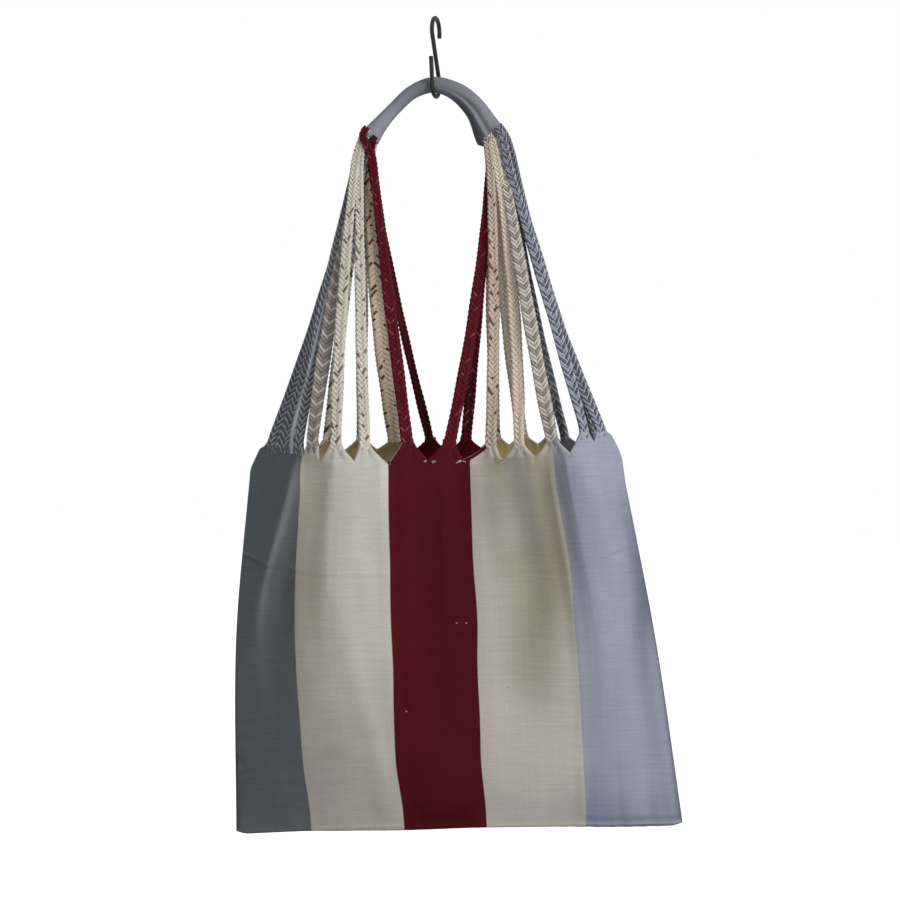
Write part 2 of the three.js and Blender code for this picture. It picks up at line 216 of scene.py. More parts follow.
def through(stations, values, at):
    """A smooth curve through the values at the stations, read at many places."""
    at = np.atleast_1d(np.asarray(at, float))
    x = np.asarray(stations, float)
    v = np.asarray(values, float)
    if v.ndim == 2:
        v = np.broadcast_to(v[:, None, :], (len(x), len(at), v.shape[1]))
    slope = np.empty(v.shape)
    slope[1:-1] = (v[2:] - v[:-2]) / (x[2:] - x[:-2])[:, None, None]
    slope[0] = (v[1] - v[0]) / (x[1] - x[0])
    slope[-1] = (v[-1] - v[-2]) / (x[-1] - x[-2])
    i = np.clip(np.searchsorted(x, at) - 1, 0, len(x) - 2)
    j = np.arange(len(at))
    span = (x[i + 1] - x[i])[:, None]
    t = np.clip((at - x[i])[:, None] / span, 0, 1)
    rise = v[i + 1, j] - v[i, j]
    bend_in = slope[i, j] * span - rise
    bend_out = rise - slope[i + 1, j] * span
    return v[i, j] + t * rise + t * (1 - t) * ((1 - t) * bend_in + t * bend_out)


def cloth_points(folds, flat, level, rise=0):
    """Points of a hanging panel. Above the mouth, by a rise, it leans in towards the handle."""
    flat = np.asarray(flat, float).ravel()
    level = np.broadcast_to(level, flat.shape)
    rise = np.broadcast_to(rise, flat.shape)
    lines = np.array([through((0, HALF_WAY, 1), fold[1:], level) for fold in folds])
    points = through([fold[0] for fold in folds], lines, flat)
    points[:, 0] *= 1 - LEAN_ACROSS * rise
    points[:, 1] *= 1 - LEAN_DEEP * rise
    points[:, 2] += rise
    # The two walls stand a fold's width apart and come together at the side seams.
    clear = 1 - np.exp(-(np.minimum(flat, WIDTH - flat) / 5) ** 2)
    points[:, 1] += (-FOLD_RADIUS if folds is FRONT_FOLDS else FOLD_RADIUS) * clear
    points[:, 0] += np.where(flat < WIDTH / 2, -1, 1) * FOLD_RADIUS * (1 - clear)
    return points


def valleys(feet):
    """Between each two braids, and at both seams: the flat place and the height of the cloth's edge."""
    found = [(0, SEAM_RISE["left"])]
    for (foot, rise, valley, fall), following in zip(feet, feet[1:]):
        found.append((valley, (rise + following[1]) / 2 - fall))
    return found + [(WIDTH, SEAM_RISE["right"])]


# The creases of each panel: the line that each follows, as flat place and level in hundredths of the
# panel's depth, its half width in millimetres, and its heights from the start to the end of the line,
# out (+) or in (-).
FRONT_CREASES = [
    ([(84, 0), (73, 10), (60, 19), (48, 28), (40, 38), (36, 50)], 8.5, 4.4, 3.4, 2.4, 0),
    ([(46, 27), (38, 38), (36, 50), (40, 72)], 11, 0, 1.8, 1.4, 0),
    ([(78, 16), (70, 30), (66, 50)], 9, -1.6, -1),
    ([(24, 2), (18, 25), (14, 45)], 12, -2.4, -1),
    ([(60, 60), (58, 75), (70, 95)], 16, -1.8, 0.5),
    ([(108, 0), (104, 30), (112, 55)], 8, -1.4, -0.8),
    ([(121, 0), (121, 19), (127, 33), (139, 47), (150, 61), (160, 75), (168, 95)], 11, 0.7, 1.6),
    ([(115, 2), (118, 15), (121, 33)], 2.4, 0.45, 0.3),
    ([(147, 30), (158, 52), (170, 80)], 11, -1.2, -0.6),
    ([(176, 0), (178, 40), (181, 95)], 5, 0.6, 0.3),
    ([(190, 0), (190, 50), (192, 95)], 5, -0.8, -0.4),
    ([(234, 5), (232, 30), (236, 47)], 3, 1, 0.4),
    ([(212, 0), (214, 30), (222, 70)], 12, -0.9, -1),
    ([(268, 0), (270, 35), (272, 90)], 8, 1.4, 0.5),
    ([(300, 0), (306, 13), (311, 26), (310, 42), (304, 68)], 17, -3.6, -5, -2.8, -1),
    ([(338, 2), (342, 25), (342, 50)], 7, -1.4, -0.6),
    ([(351, 0), (352, 30), (352, 60), (352, 97)], 4, 1.7, 1),
    ([(366, 0), (368, 25), (368, 55), (368, 80)], 10, -3.2, -0.8),
    ([(442, 2), (438, 20), (428, 40), (416, 55), (412, 75)], 11, 0, -1.6, -3, -2.2, 0),
    ([(382, 0), (382, 30), (378, 60)], 7, 1.6, 0.8),
    ([(408, 2), (408, 24), (400, 47), (394, 66)], 10, 2, 0.6),
    ([(392, 70), (396, 98)], 8, 0.4, 1.6),
    ([(418, 75), (416, 98)], 7, -0.4, -1.6),
    ([(0, 22.6), (30, 25), (80, 26.5)], 2.2, 0.9, 0.5),
    ([(80, 26.5), (124, 28), (192, 28.5), (258, 29), (324, 27)], 2.4, 0.25, 0.2),
    ([(324, 27), (364, 26), (394, 23.2), (436, 20)], 2.4, 0.3, 0.3),
    ([(0, 23.8), (30, 26.2), (80, 27.7)], 1.6, -1.3, -0.7),
    ([(80, 27.7), (124, 29.2), (192, 29.7), (258, 30.2), (324, 28.2)], 1.8, -0.3, -0.2),
    ([(324, 28.2), (364, 27.2), (394, 24.4), (436, 21.2)], 1.8, -0.3, -0.35),
    ([(120, 72), (180, 76), (250, 75)], 14, -0.9, -0.9),
    ([(270, 80), (340, 83), (400, 80)], 12, 1, 0.8),
    ([(2, 80), (9, 82.5), (24, 81)], 4, -2.4, -0.6),
]
BACK_CREASES = [
    ([(60, 2), (52, 30), (60, 70)], 12, 3, 1),
    ([(130, 0), (140, 35), (134, 80)], 11, -2.4, -0.8),
    ([(186, 3), (176, 40), (190, 90)], 10, 1.8, 0.8),
    ([(258, 0), (266, 40), (250, 85)], 12, -2, -1),
    ([(306, 2), (300, 40), (312, 80)], 9, 2, 0.8),
    ([(372, 2), (384, 35), (380, 80)], 11, -2.2, -0.8),
    ([(0, 24), (110, 27), (222, 29), (340, 26.5), (444, 20)], 3.4, 0.9, 0.9),
    ([(0, 26), (110, 29.2), (222, 31.2), (340, 28.7), (444, 22)], 5, -0.8, -0.8),
    ([(80, 80), (200, 86), (330, 80)], 14, 1.2, 0.8),
]


def stroke(line, half_width, strengths, flat, down):
    """A soft stroke on the cloth along a line, with its strengths from start to end."""
    line = np.array(line, float) * (1, PANEL_DEPTH / 100)
    steps = np.linspace(0, len(line) - 1, 6 * (len(line) - 1) + 1)
    parts = np.linspace(0, 1, len(strengths))
    line = through(np.arange(len(line)), line, steps)
    nearest = np.full(flat.shape, np.inf)
    strength = np.zeros(flat.shape)
    for k, (a, b) in enumerate(zip(line, line[1:])):
        along = b - a
        t = np.clip(((flat - a[0]) * along[0] + (down - a[1]) * along[1]) / (along @ along), 0, 1)
        away = (flat - a[0] - t * along[0]) ** 2 + (down - a[1] - t * along[1]) ** 2
        closer = away < nearest
        nearest = np.where(closer, away, nearest)
        here = np.interp((k + t) / (len(line) - 1), parts, strengths)
        strength = np.where(closer, here, strength)
    return strength * np.exp(-nearest / half_width ** 2)


# Painted light and shade on the front panel: paler strokes along the fold crests that face the lamp, and
# darker ones in its creases and troughs, along its seams and towards the bottom, some of them also
# shifting the hue. Each is a line on the front panel as above, its half width, and from its start to its
# end how many hundredths paler (+) or darker (-) the red, green and blue of the stripe are there.
FRONT_PAINTED_LIGHT = [
    ([(84, 0), (73, 10), (61, 19), (49, 28), (41, 38), (36, 50)], 5, (62, 60, 60), (95, 92, 92),
     (95, 92, 92), (55, 53, 53), (0, 0, 0)),
    ([(0, 22.2), (30, 24.7), (62, 25.8)], 2, (16, 15, 16), (0, 0, 0)),
    ([(0, 23.2), (30, 25.7), (62, 26.8)], 1.6, (-34, -33, -30), (-10, -10, -10)),
    ([(84, 4), (77, 16), (66, 26), (56, 36)], 12, (36, 32, 33), (26, 20, 22)),
    ([(40, 36), (36, 46), (38, 58)], 14, (16, 14, 14), (6, 4, 5)),
    ([(8, 0), (20, 16)], 22, (-8, 6, 2), (-8, 6, 2)),
    ([(30, 50), (44, 42)], 20, (14, 13, 14), (10, 8, 10)),
    ([(0, 90), (40, 92), (84, 92)], 50, (-16, -18, -14), (-10, -12, -8)),
    ([(99, 0), (104, 15)], 16, (20, 14, 6), (12, 8, -4)),
    ([(101, 30), (103, 42), (108, 62), (120, 78)], 17, (-12, -14, -24), (-14, -13, -16)),
    ([(180, 0), (179, 10), (178, 22)], 7, (22, 22, 23), (0, 0, 0)),
    ([(80, 26), (86, 40), (84, 55)], 6, (0, 0, 0), (-20, -20, -20), (0, 0, 0)),
    ([(150, 10), (152, 20), (160, 36), (170, 50)], 18, (3, 5, 9), (14, 16, 21)),
    ([(128, 85), (160, 95), (182, 92)], 44, (-15, -14, -14), (-15, -15, -16)),
    ([(288, 0), (292, 10)], 12, (-18, -22, -32), (-5, -6, -12)),
    ([(342, 0), (341, 16), (336, 30), (326, 42), (312, 60)], 22, (2, -4, -16), (-20, -26, -38),
     (-22, -25, -34), (-14, -14, -20)),
    ([(274, 0), (280, 12), (286, 24)], 13, (-14, -15, -16), (-20, -20, -22), (-6, -6, -8)),
    ([(304, 24), (304, 40), (300, 56)], 16, (-12, -15, -26), (-12, -12, -16)),
    ([(330, 36), (322, 44)], 16, (-4, -5, -8), (0, 0, 0)),
    ([(270, 95), (310, 97), (352, 97)], 30, (-14, -14, -9), (-12, -11, -6)),
    ([(356, 0), (361, 12), (363, 26), (362, 42)], 8.5, (-46, -45, -40), (-30, -28, -22),
     (-24, -22, -16), (0, 0, 0)),
    ([(376, 0), (384, 12), (386, 25)], 14, (-26, -25, -20), (-12, -12, -10)),
    ([(447, 2), (447, 12), (446, 24), (440, 38), (430, 50), (430, 75), (438, 95)], 13, (0, 0, 0),
     (-36, -35, -28), (-52, -50, -42), (-50, -48, -40), (-34, -32, -26), (-20, -18, -13),
     (-14, -12, -8)),
    ([(443.5, 30), (443.5, 60), (443.5, 99)], 2.2, (-10, -10, -8), (-42, -42, -38), (-50, -50, -46)),
    ([(356, 98.5), (400, 99), (443, 99)], 2.6, (-20, -20, -18), (-42, -42, -38), (-42, -42, -38)),
    ([(0.5, 50), (0.5, 99)], 2.2, (-10, -10, -10), (-34, -34, -32)),
    ([(362, 97), (400, 99), (436, 97)], 26, (-20, -18, -12), (-16, -14, -10)),
    ([(196, 20), (196, 50), (200, 75)], 16, (8, 4, 6), (16, 4, 6)),
    ([(224, 12), (228, 35), (232, 60)], 16, (-6, -10, 12), (-8, -14, 0)),
    ([(205, 97), (222, 98), (240, 97)], 12, (-22, -44, -38), (-22, -44, -38)),
]

# How far the stripes' four edges wander to the left (-) of their place, along the length of the cloth.
STRIPE_EDGES = (90, 183, 261, 354)
DRIFT_AT = (0, 43, 92, 142, 192, 241, 291, 344, 710)
DRIFTS = (
    (0, -1, -1, 0, 0, -1, -3, -1, -14), (0, -1, -1, -2, -2, -4, -5, -1, -3),
    (-1, -1, -1, 1, -1, -1, -2, 0, -3), (-1, -1, -1, -4, -4.5, -4, -3, -2, -14),
)


def relief(creases, flat, down):
    """How far the creases stand out of, or sink into, the panel at each place."""
    total = np.zeros(flat.shape)
    for line, half_width, *heights in creases:
        total += stroke(line, half_width, heights, flat, down)
    # The unevenness of heavy handwoven cloth, and the small puckers along seams and bottom fold.
    total += 0.35 * np.sin(flat / 17 + 1.3 * np.sin(down / 61)) * np.sin(down / 43 + flat / 90)
    total += 0.25 * np.sin(flat / 9.5 + down / 37 + 2.0) * np.sin(down / 21 + 0.7)
    from_seam = np.minimum(flat, WIDTH - flat)
    total += 0.55 * np.exp(-from_seam / 9) * np.sin(down / 2.3 + 2 * np.sin(down / 23))
    from_bottom = PANEL_DEPTH - down
    puckers = np.exp(-from_bottom / 11) * np.sin(flat / 2.7 + 2 * np.sin(flat / 31))
    # The puckers are stronger at the bottom's right corner.
    return total + (0.3 + 0.5 * (flat > 330)) * puckers


front_valleys = valleys(FRONT_FEET)
back_valleys = valleys(BACK_FEET)
PANELS = {
    "front": (FRONT_FOLDS, FRONT_FEET, front_valleys, FRONT_CREASES),
    "back": (BACK_FOLDS, BACK_FEET, back_valleys, BACK_CREASES),
}
# The columns of points stand about this far apart, with one at every valley. The rows of points
# stand closest together where the storage fold's line runs.
COLUMN_STEP = 2.35
BELOW_BRIM = 0.04
BRIM_SHARES = (0, 0.35, 0.7)
ROW_LEVELS = np.concatenate([
    np.linspace(BELOW_BRIM, 0.19, 22, endpoint=False), np.linspace(0.19, 0.33, 25, endpoint=False),
    np.linspace(0.33, 1, 44),
])
TAB_ROWS = 9
PLEATED_ROWS = 8
breaks = sorted({place for place, height in front_valleys + back_valleys})
columns = [0.0]
for a, b in zip(breaks, breaks[1:]):
    between = max(1, round((b - a) / COLUMN_STEP))
    columns += [a + (b - a) * k / between for k in range(1, between + 1)]
columns = np.array(columns)
from_seams = np.minimum(columns, WIDTH - columns)

# All points of the cloth, how far each is gathered, and the corners of every face.
points, gathered, corners = [], [], []


def put_points(new, gather):
    """Adds a row of points to the cloth and gives their numbers."""
    first = len(points)
    points.extend(new)
    gathered.extend(np.broadcast_to(gather, len(new)))
    return np.arange(first, first + len(new))


def join_rows(upper, lower, flat, upper_length, lower_length, turned=False):
    """The faces between two rows of points, each corner with its place on the flat cloth."""
    for c in range(len(flat) - 1):
        d = c + 1
        four = [
            (upper[c], flat[c], upper_length[c]), (lower[c], flat[c], lower_length[c]),
            (lower[d], flat[d], lower_length[d]), (upper[d], flat[d], upper_length[d]),
        ]
        if turned:
            four.reverse()
        # Where two corners are one point, at a seam, one of them is dropped.
        kept = [four[k] for k in range(4) if four[k][0] != four[k - 1][0]]
        if len(kept) > 2:
            corners.append(([int(point) for point, x, y in kept], [(x, y) for point, x, y in kept]))


def panel_grid(folds, edge, creases):
    """One panel's rows of points below its scalloped edge, how far down they are, and its edge."""
    base = np.interp(columns, *np.transpose(edge))
    top, under = cloth_points(folds, columns, 0, base), cloth_points(folds, columns, BELOW_BRIM)
    rows = [top * (1 - share) + under * share for share in BRIM_SHARES]
    rows = np.array(rows + [cloth_points(folds, columns, level) for level in ROW_LEVELS])
    depths = [-base * (1 - share) + BELOW_BRIM * PANEL_DEPTH * share for share in BRIM_SHARES]
    depths = np.array(depths + [np.full(len(columns), level * PANEL_DEPTH) for level in ROW_LEVELS])
    # The normals are turned to point out of the bag, as told by one well inside the panel.
    normal = np.cross(np.gradient(rows, axis=1), np.gradient(rows, axis=0))
    normal = unit(normal * np.sign(normal[40, 80, 1]) * (-1 if folds is FRONT_FOLDS else 1))
    stands = relief(creases, np.broadcast_to(columns, depths.shape), depths)
    # Creases die out at the side seams, and almost do in the bottom fold.
    stands *= np.clip(from_seams / 4, 0, 1) * np.clip((PANEL_DEPTH - depths) / 8, 0.15, 1)
    return rows + normal * stands[:, :, None], depths, normal[0], base


def drawn_in(share, side_gap, is_seam):
    """How far from a braid's middle the outermost warp still is, on its way up to the braid."""
    return BRAID_HALF + side_gap * (1 - share) ** (0.385 if is_seam else 1.3)


def pleats(place_in_gather, share):
    """Small upright pleats where the warps are drawn together."""
    return share * np.cos(place_in_gather * 2.5 * np.pi + 0.6)


panel_rows = {}
for side, (folds, feet, edge, creases) in PANELS.items():
    grid, depths, normal, base = panel_grid(folds, edge, creases)
    level_normal = unit(normal * (1, 1, 0))
    # The pleats reach a little way down from the scalloped edge.
    tab_of = [np.searchsorted([place for place, height in edge[1:-1]], c) for c in columns]
    offset = np.array([c - feet[t][0] for c, t in zip(columns, tab_of)])
    reach = np.array([
        edge[t + 1][0] - feet[t][0] if o > 0 else feet[t][0] - edge[t][0]
        for o, t in zip(offset, tab_of)
    ])
    for r in range(PLEATED_ROWS):
        fade = math.exp(-((depths[r] + base).mean() / 9) ** 2) * 0.35
        lift = pleats(offset / reach, fade) * np.clip(from_seams / 6, 0, 1)
        grid[r] += level_normal * lift[:, None]
    is_back = side == "back"
    length_at = (lambda down: 2 * PANEL_DEPTH - down) if is_back else (lambda down: down)
    index = np.array([put_points(row, 0.0) for row in grid])
    if is_back:
        # The two panels share the points of their side seams.
        index[:, 0] = panel_rows["front"][0][:, 0]
        index[:, -1] = panel_rows["front"][0][:, -1]
    lengths = length_at(depths)
    for r in range(len(grid) - 1):
        join_rows(index[r], index[r + 1], columns, lengths[r], lengths[r + 1], is_back)
    # One tab of cloth goes up into each braid.
    for t, (foot, peak, valley, fall) in enumerate(feet):
        left, right = edge[t][0], edge[t + 1][0]
        first, last = np.searchsorted(columns, (left - 1e-6, right - 1e-6))
        here = np.arange(first, last + 1)
        away = columns[here] - foot
        place = np.where(away < 0, away / (foot - left), away / (right - foot))
        previous, previous_rise = index[0, here], base[here]
        for k in range(1, TAB_ROWS + 1):
            share = k / TAB_ROWS
            wide_left = drawn_in(share, foot - left - BRAID_HALF, t == 0)
            wide_right = drawn_in(share, right - foot - BRAID_HALF, t == len(feet) - 1)
            drawn = foot + place * np.where(away < 0, wide_left, wide_right)
            rise = base[here] * (1 - share) + peak * share
            row = cloth_points(folds, drawn, 0, rise)
            row += level_normal[here] * pleats(place, 0.35 + 0.65 * share)[:, None]
            row = put_points(row, share)
            join_rows(
                row, previous, columns[here], length_at(-rise), length_at(-previous_rise), is_back,
            )
            previous, previous_rise = row, rise
    panel_rows[side] = (index, grid)

# The rounded fold along the bottom.
FOLD_LENGTH = 6.0
(front_index, front_grid), (back_index, back_grid) = panel_rows["front"], panel_rows["back"]
middle = (front_grid[-1] + back_grid[-1]) / 2
half = (front_grid[-1] - back_grid[-1]) / 2
previous = front_index[-1]
previous_length = np.full(len(columns), PANEL_DEPTH - FOLD_LENGTH / 2)
for turn in (30, 60, 90, 120, 150, 180):
    length = np.full(len(columns), PANEL_DEPTH - FOLD_LENGTH / 2 + FOLD_LENGTH * turn / 180)
    if turn == 180:
        row = back_index[-1]
    else:
        ring = middle + half * math.cos(math.radians(turn))
        ring[:, 2] -= np.linalg.norm(half, axis=1) * math.sin(math.radians(turn))
        row = put_points(ring, 0.0)
        row[0], row[-1] = front_index[-1, 0], front_index[-1, -1]
    join_rows(previous, row, columns, previous_length, length)
    previous, previous_length = row, length


def mesh_piece(name, vertices, faces):
    """A new piece from its points in millimetres and its faces."""
    mesh = bpy.data.meshes.new(name)
    mesh.from_pydata((np.asarray(vertices, float) * MM).tolist(), [], faces)
    mesh.polygons.foreach_set("use_smooth", [True] * len(mesh.polygons))
    mesh.update()
    piece = bpy.data.objects.new(name, mesh)
    scene.collection.objects.link(piece)
    return piece


def thicken(piece, thickness, offset, vertex_group=""):
    """Gives the sheet that is selected its thickness."""
    wall = piece.modifiers.new("cloth thickness", "SOLIDIFY")
    wall.thickness = thickness * MM
    wall.offset = offset
    wall.vertex_group = vertex_group
    bpy.ops.object.modifier_apply(modifier=wall.name)


# How thick the cloth is where it is drawn together, and the plain cloth's share of that.
GATHERED_THICK = 2.9
PLAIN_SHARE = 0.42

cloth = mesh_piece("striped_cloth", points, [face for face, places in corners])
flat_corners = np.array([place for face, places in corners for place in places])
cloth.data.uv_layers.new(name="flat cloth").data.foreach_set("uv", (flat_corners * MM).ravel())
across, down = flat_corners.T
# The painted light and shade on the front panel, then how far the stripes' edges wander at each place.
light_and_tone = np.ones((len(across), 4))
# Each stroke paints light or shade into the front panel's colour.
for line, half_width, *changes in FRONT_PAINTED_LIGHT:
    for k, parts in enumerate(np.transpose(changes) / 100):
        change = stroke(line, half_width, parts, across, down)
        light_and_tone[:, k] *= 1 + np.where(down < PANEL_DEPTH, change, 0)
light_and_tone_layer = cloth.data.color_attributes.new("light_and_tone", "FLOAT_COLOR", "CORNER")
light_and_tone_layer.data.foreach_set("color", light_and_tone.ravel())
edge_drift = np.pad(through(DRIFT_AT, np.array(DRIFTS, float).T, down).T, ((1, 1), (0, 0)))
stations = np.array((0, *STRIPE_EDGES, WIDTH))
after = np.clip(np.searchsorted(stations, across), 1, len(stations) - 1)
part = (across - stations[after - 1]) / (stations[after] - stations[after - 1])
number = np.arange(len(part))
stripe_drift = edge_drift[after - 1, number] * (1 - part) + edge_drift[after, number] * part
drifts = cloth.data.attributes.new("stripe_drift", "FLOAT", "CORNER")
drifts.data.foreach_set("value", stripe_drift * MM)
thickness = cloth.vertex_groups.new(name="thickness")
for k, share in enumerate(gathered):
    thickness.add([k], PLAIN_SHARE + (1 - PLAIN_SHARE) * float(share), "REPLACE")
select_only(cloth)
bpy.ops.object.mode_set(mode="EDIT")
bpy.ops.mesh.select_all(action="SELECT")
bpy.ops.mesh.delete_loose(use_verts=True, use_edges=True, use_faces=False)
bpy.ops.object.mode_set(mode="OBJECT")
thicken(cloth, GATHERED_THICK, 0, "thickness")


def blend_colours(tree, share, first, second, kind="MIX"):
    """A colour between two, each a colour or another node's output."""
    inputs = {0: share, 6: first, 7: second}
    return add_node(tree, "Mix", inputs, data_type="RGBA", blend_type=kind).outputs[2]


def shaded(tree, colour, shade):
    """A colour made darker or paler by a shade, where 1 leaves it as it is."""
    grey = add_node(tree, "CombineColor", {0: shade, 1: shade, 2: shade})
    return blend_colours(tree, 1.0, colour, grey.outputs[0], "MULTIPLY")


def noise(tree, place, scale, detail):
    """Soft noise from 0 to 1."""
    return add_node(tree, "TexNoise", {"Vector": place, "Scale": scale, "Detail": detail}).outputs[0]


def around_zero(tree, value, amount):
    """A value from 0 to 1, moved to lie about zero and made as large as the amount."""
    return wire(tree, "MULTIPLY", wire(tree, "SUBTRACT", value, 0.5), amount)


def add_relief(tree, shader, height, strength, distance):
    """Fine relief on a material, too small to model."""
    raised = add_node(tree, "Bump", {"Strength": strength, "Distance": distance, "Height": height})
    tree.links.new(raised.outputs[0], shader.inputs["Normal"])


def group_sockets(name, inputs, outputs):
    """An empty shader node group with its named inputs and outputs."""
    group = bpy.data.node_groups.new(name, "ShaderNodeTree")
    for label, kind, value in inputs:
        socket = group.interface.new_socket(label, in_out="INPUT", socket_type="NodeSocket" + kind)
        if value is not None:
            socket.default_value = value
    for label, kind in outputs:
        group.interface.new_socket(label, in_out="OUTPUT", socket_type="NodeSocket" + kind)
    return group, group.nodes.new("NodeGroupInput").outputs, group.nodes.new("NodeGroupOutput")


def thread_back(tree, place):
    """The rounded back of each thread, 0 at its two sides and 1 along its middle."""
    return wire(tree, "SINE", wire(tree, "MULTIPLY", wire(tree, "FRACT", place), math.pi))


def own_number(tree, thread):
    """A number from 0 to 1 that is each thread's own."""
    return add_node(tree, "TexWhiteNoise", {"W": thread}, noise_dimensions="1D").outputs[0]


# The weave: warps along Y and wefts along X of the flat cloth, over one and under one.
weave, given, end = group_sockets(
    "Plain weave",
    [("Flat place", "Vector", None), ("Warp pitch", "Float", 0.0009), ("Weft pitch", "Float", 0.0011),
     ("Unevenness", "Float", 0.1)],
    [("Height", "Float"), ("Shade", "Float"), ("Row", "Float")],
)
flat_place = given["Flat place"]
x, y = add_node(weave, "SeparateXYZ", {0: flat_place}).outputs[:2]
wander = around_zero(weave, noise(weave, flat_place, 26, 2), 3.0)
warp = wire(weave, "ADD", wire(weave, "DIVIDE", x, given["Warp pitch"]), wander)
weft = wire(weave, "ADD", wire(weave, "DIVIDE", y, given["Weft pitch"]), wander)
whole_warp, whole_weft = wire(weave, "FLOOR", warp), wire(weave, "FLOOR", weft)
crossing = wire(weave, "ADD", wire(weave, "MULTIPLY", weft, math.pi),
                wire(weave, "MULTIPLY", whole_warp, math.pi))
over = wire(weave, "MULTIPLY_ADD", wire(weave, "SINE", crossing), 0.5, 0.5)
warp_height = wire(weave, "MULTIPLY", thread_back(weave, warp),
                   wire(weave, "MULTIPLY_ADD", over, 0.6, 0.25))
height = wire(weave, "ADD", warp_height, wire(weave, "MULTIPLY", thread_back(weave, weft), 0.45))
slub_place = add_node(weave, "CombineXYZ", {
    0: wire(weave, "MULTIPLY", x, 22), 1: wire(weave, "MULTIPLY", whole_weft, 0.73),
})
streak_place = add_node(weave, "CombineXYZ", {
    0: wire(weave, "MULTIPLY", x, 30), 1: wire(weave, "MULTIPLY", y, 420),
})
# Each weft and each warp has its own shade, and slubs, streaks and specks lie over them.
uneven = 0.0
for value, amount in (
    (own_number(weave, whole_weft), 0.3),
    (own_number(weave, wire(weave, "ADD", whole_warp, 311.5)), 0.4),
    (noise(weave, slub_place.outputs[0], 1.0, 2), 1.0),
    (noise(weave, streak_place.outputs[0], 1.0, 3), 2.4),
    (noise(weave, flat_place, 520, 2), 2.2),
):
    uneven = wire(weave, "ADD", around_zero(weave, value, amount), uneven)
# The threads' backs are painted a little paler than the gaps between them, a painted shade, and the
# threads' own unevenness is added.
shade = wire(weave, "ADD", wire(weave, "MULTIPLY_ADD", height, 0.05, 0.97),
             wire(weave, "MULTIPLY", uneven, given["Unevenness"]))
set_inputs(weave, end, {"Height": height, "Shade": shade, "Row": weft})


def weave_on(tree, unevenness):
    """The place on the flat cloth, and what the weave gives there."""
    place = add_node(tree, "UVMap", uv_map="flat cloth").outputs[0]
    inputs = {"Unevenness": unevenness, "Flat place": place}
    return place, add_node(tree, "Group", inputs, node_tree=weave).outputs


def finish_cloth(tree, shader, woven, colour, shade, strength, gloss):
    """Lays the painted light and shade and the threads' shade over a cloth's colour, and gives it the
    weave's relief.
    """
    lit_and_toned = add_node(tree, "Attribute", attribute_name="light_and_tone").outputs["Color"]
    colour = blend_colours(tree, 1.0, colour, lit_and_toned, "MULTIPLY")
    set_inputs(tree, shader, {"Base Color": shaded(tree, colour, shade), "Specular IOR Level": gloss})
    add_relief(tree, shader, woven["Height"], strength, 0.0003)


# The left grey stripe is darker than the right one: partly a darker grey of its own, partly painted
# shade of the left side, which is turned from the lamp.
LEFT_GREY = paint(115, 119, 123)
CREAM = paint(205, 201, 189)
MAROON = paint(85, 19, 26)
RIGHT_GREY = paint(164, 167, 181)
# The warm colour of the painted shade inside the back panel's mouth.
INSIDE_SHADE_YELLOW = paint(240, 216, 168)
# Where along the length the cream begins to be yellower, and where it is fully so.
YELLOWS_FROM = 540
YELLOW_AT = 680
striped, tree, shader = material_called("striped cotton", CREAM, 0.9)
flat_place, woven = weave_on(tree, 0.10)
x, y = add_node(tree, "SeparateXYZ", {0: flat_place}).outputs[:2]
# A weft more or less of each colour makes the stripes' edges finely toothed.
tooth = wire(tree, "PINGPONG", woven["Row"], 1.0)
drifted = add_node(tree, "Attribute", attribute_name="stripe_drift").outputs["Fac"]
striped_at = wire(tree, "SUBTRACT", x, drifted)
stripe_place = wire(tree, "ADD", wire(tree, "DIVIDE", striped_at, WIDTH * MM),
                    around_zero(tree, tooth, 0.0022))
stripes = add_node(tree, "ValToRGB", {0: stripe_place})
stripes.color_ramp.interpolation = "CONSTANT"
marks = stripes.color_ramp.elements
marks[0].position, marks[0].color = 0, LEFT_GREY
marks[1].position, marks[1].color = STRIPE_EDGES[0] / WIDTH, CREAM
for place, colour in zip(STRIPE_EDGES[1:], (MAROON, CREAM, RIGHT_GREY)):
    marks.new(place / WIDTH).color = colour
# The cream stripes at the length's other end, near the back panel's mouth, are painted yellower and
# darker: a painted warm shade for the bag's inside, which shows through the valleys, and the outside of
# the back panel there takes it too.
near_mouth = add_node(tree, "MapRange", {
    "Value": y, "From Min": YELLOWS_FROM * MM, "From Max": YELLOW_AT * MM,
}, interpolation_type="SMOOTHSTEP")
from_middle = wire(tree, "ABSOLUTE", wire(tree, "SUBTRACT", striped_at, WIDTH / 2 * MM))
in_cream = wire(tree, "LESS_THAN", from_middle, (STRIPE_EDGES[-1] - STRIPE_EDGES[0]) / 2 * MM)
painted_inside_shade = wire(tree, "MULTIPLY", near_mouth.outputs[0], in_cream)
striped_colour = blend_colours(tree, painted_inside_shade, stripes.outputs[0], INSIDE_SHADE_YELLOW, "MULTIPLY")
patch_shade = wire(tree, "MULTIPLY_ADD", noise(tree, flat_place, 14, 3), 0.14, 0.93)
shades = wire(tree, "MULTIPLY", woven["Shade"], patch_shade)
finish_cloth(tree, shader, woven, striped_colour, shades, 0.35, 0.1)
cloth.data.materials.append(striped)
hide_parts("bag_body")
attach(cloth, "root")


# ---- Braids ----
# From the cloth's warps: flat plaits of five to eight strands, each strand a few loose cotton yarns. All
# go up to the handle, thirteen from each panel, and lie packed together below the ends of the sleeve.

# How far a strand goes before it is back on the same side, and the steps that it is drawn in. Then
# the plaits' width where they hang free, in the bundle and in the sleeve, and how thick they are.
PLAIT_LENGTH = 25
STEP = 1.7
WIDE = 11.6
WIDE_PACKED = 8.8
WIDE_END = 7.2
THICK = 4.8
THICK_END = 4.2
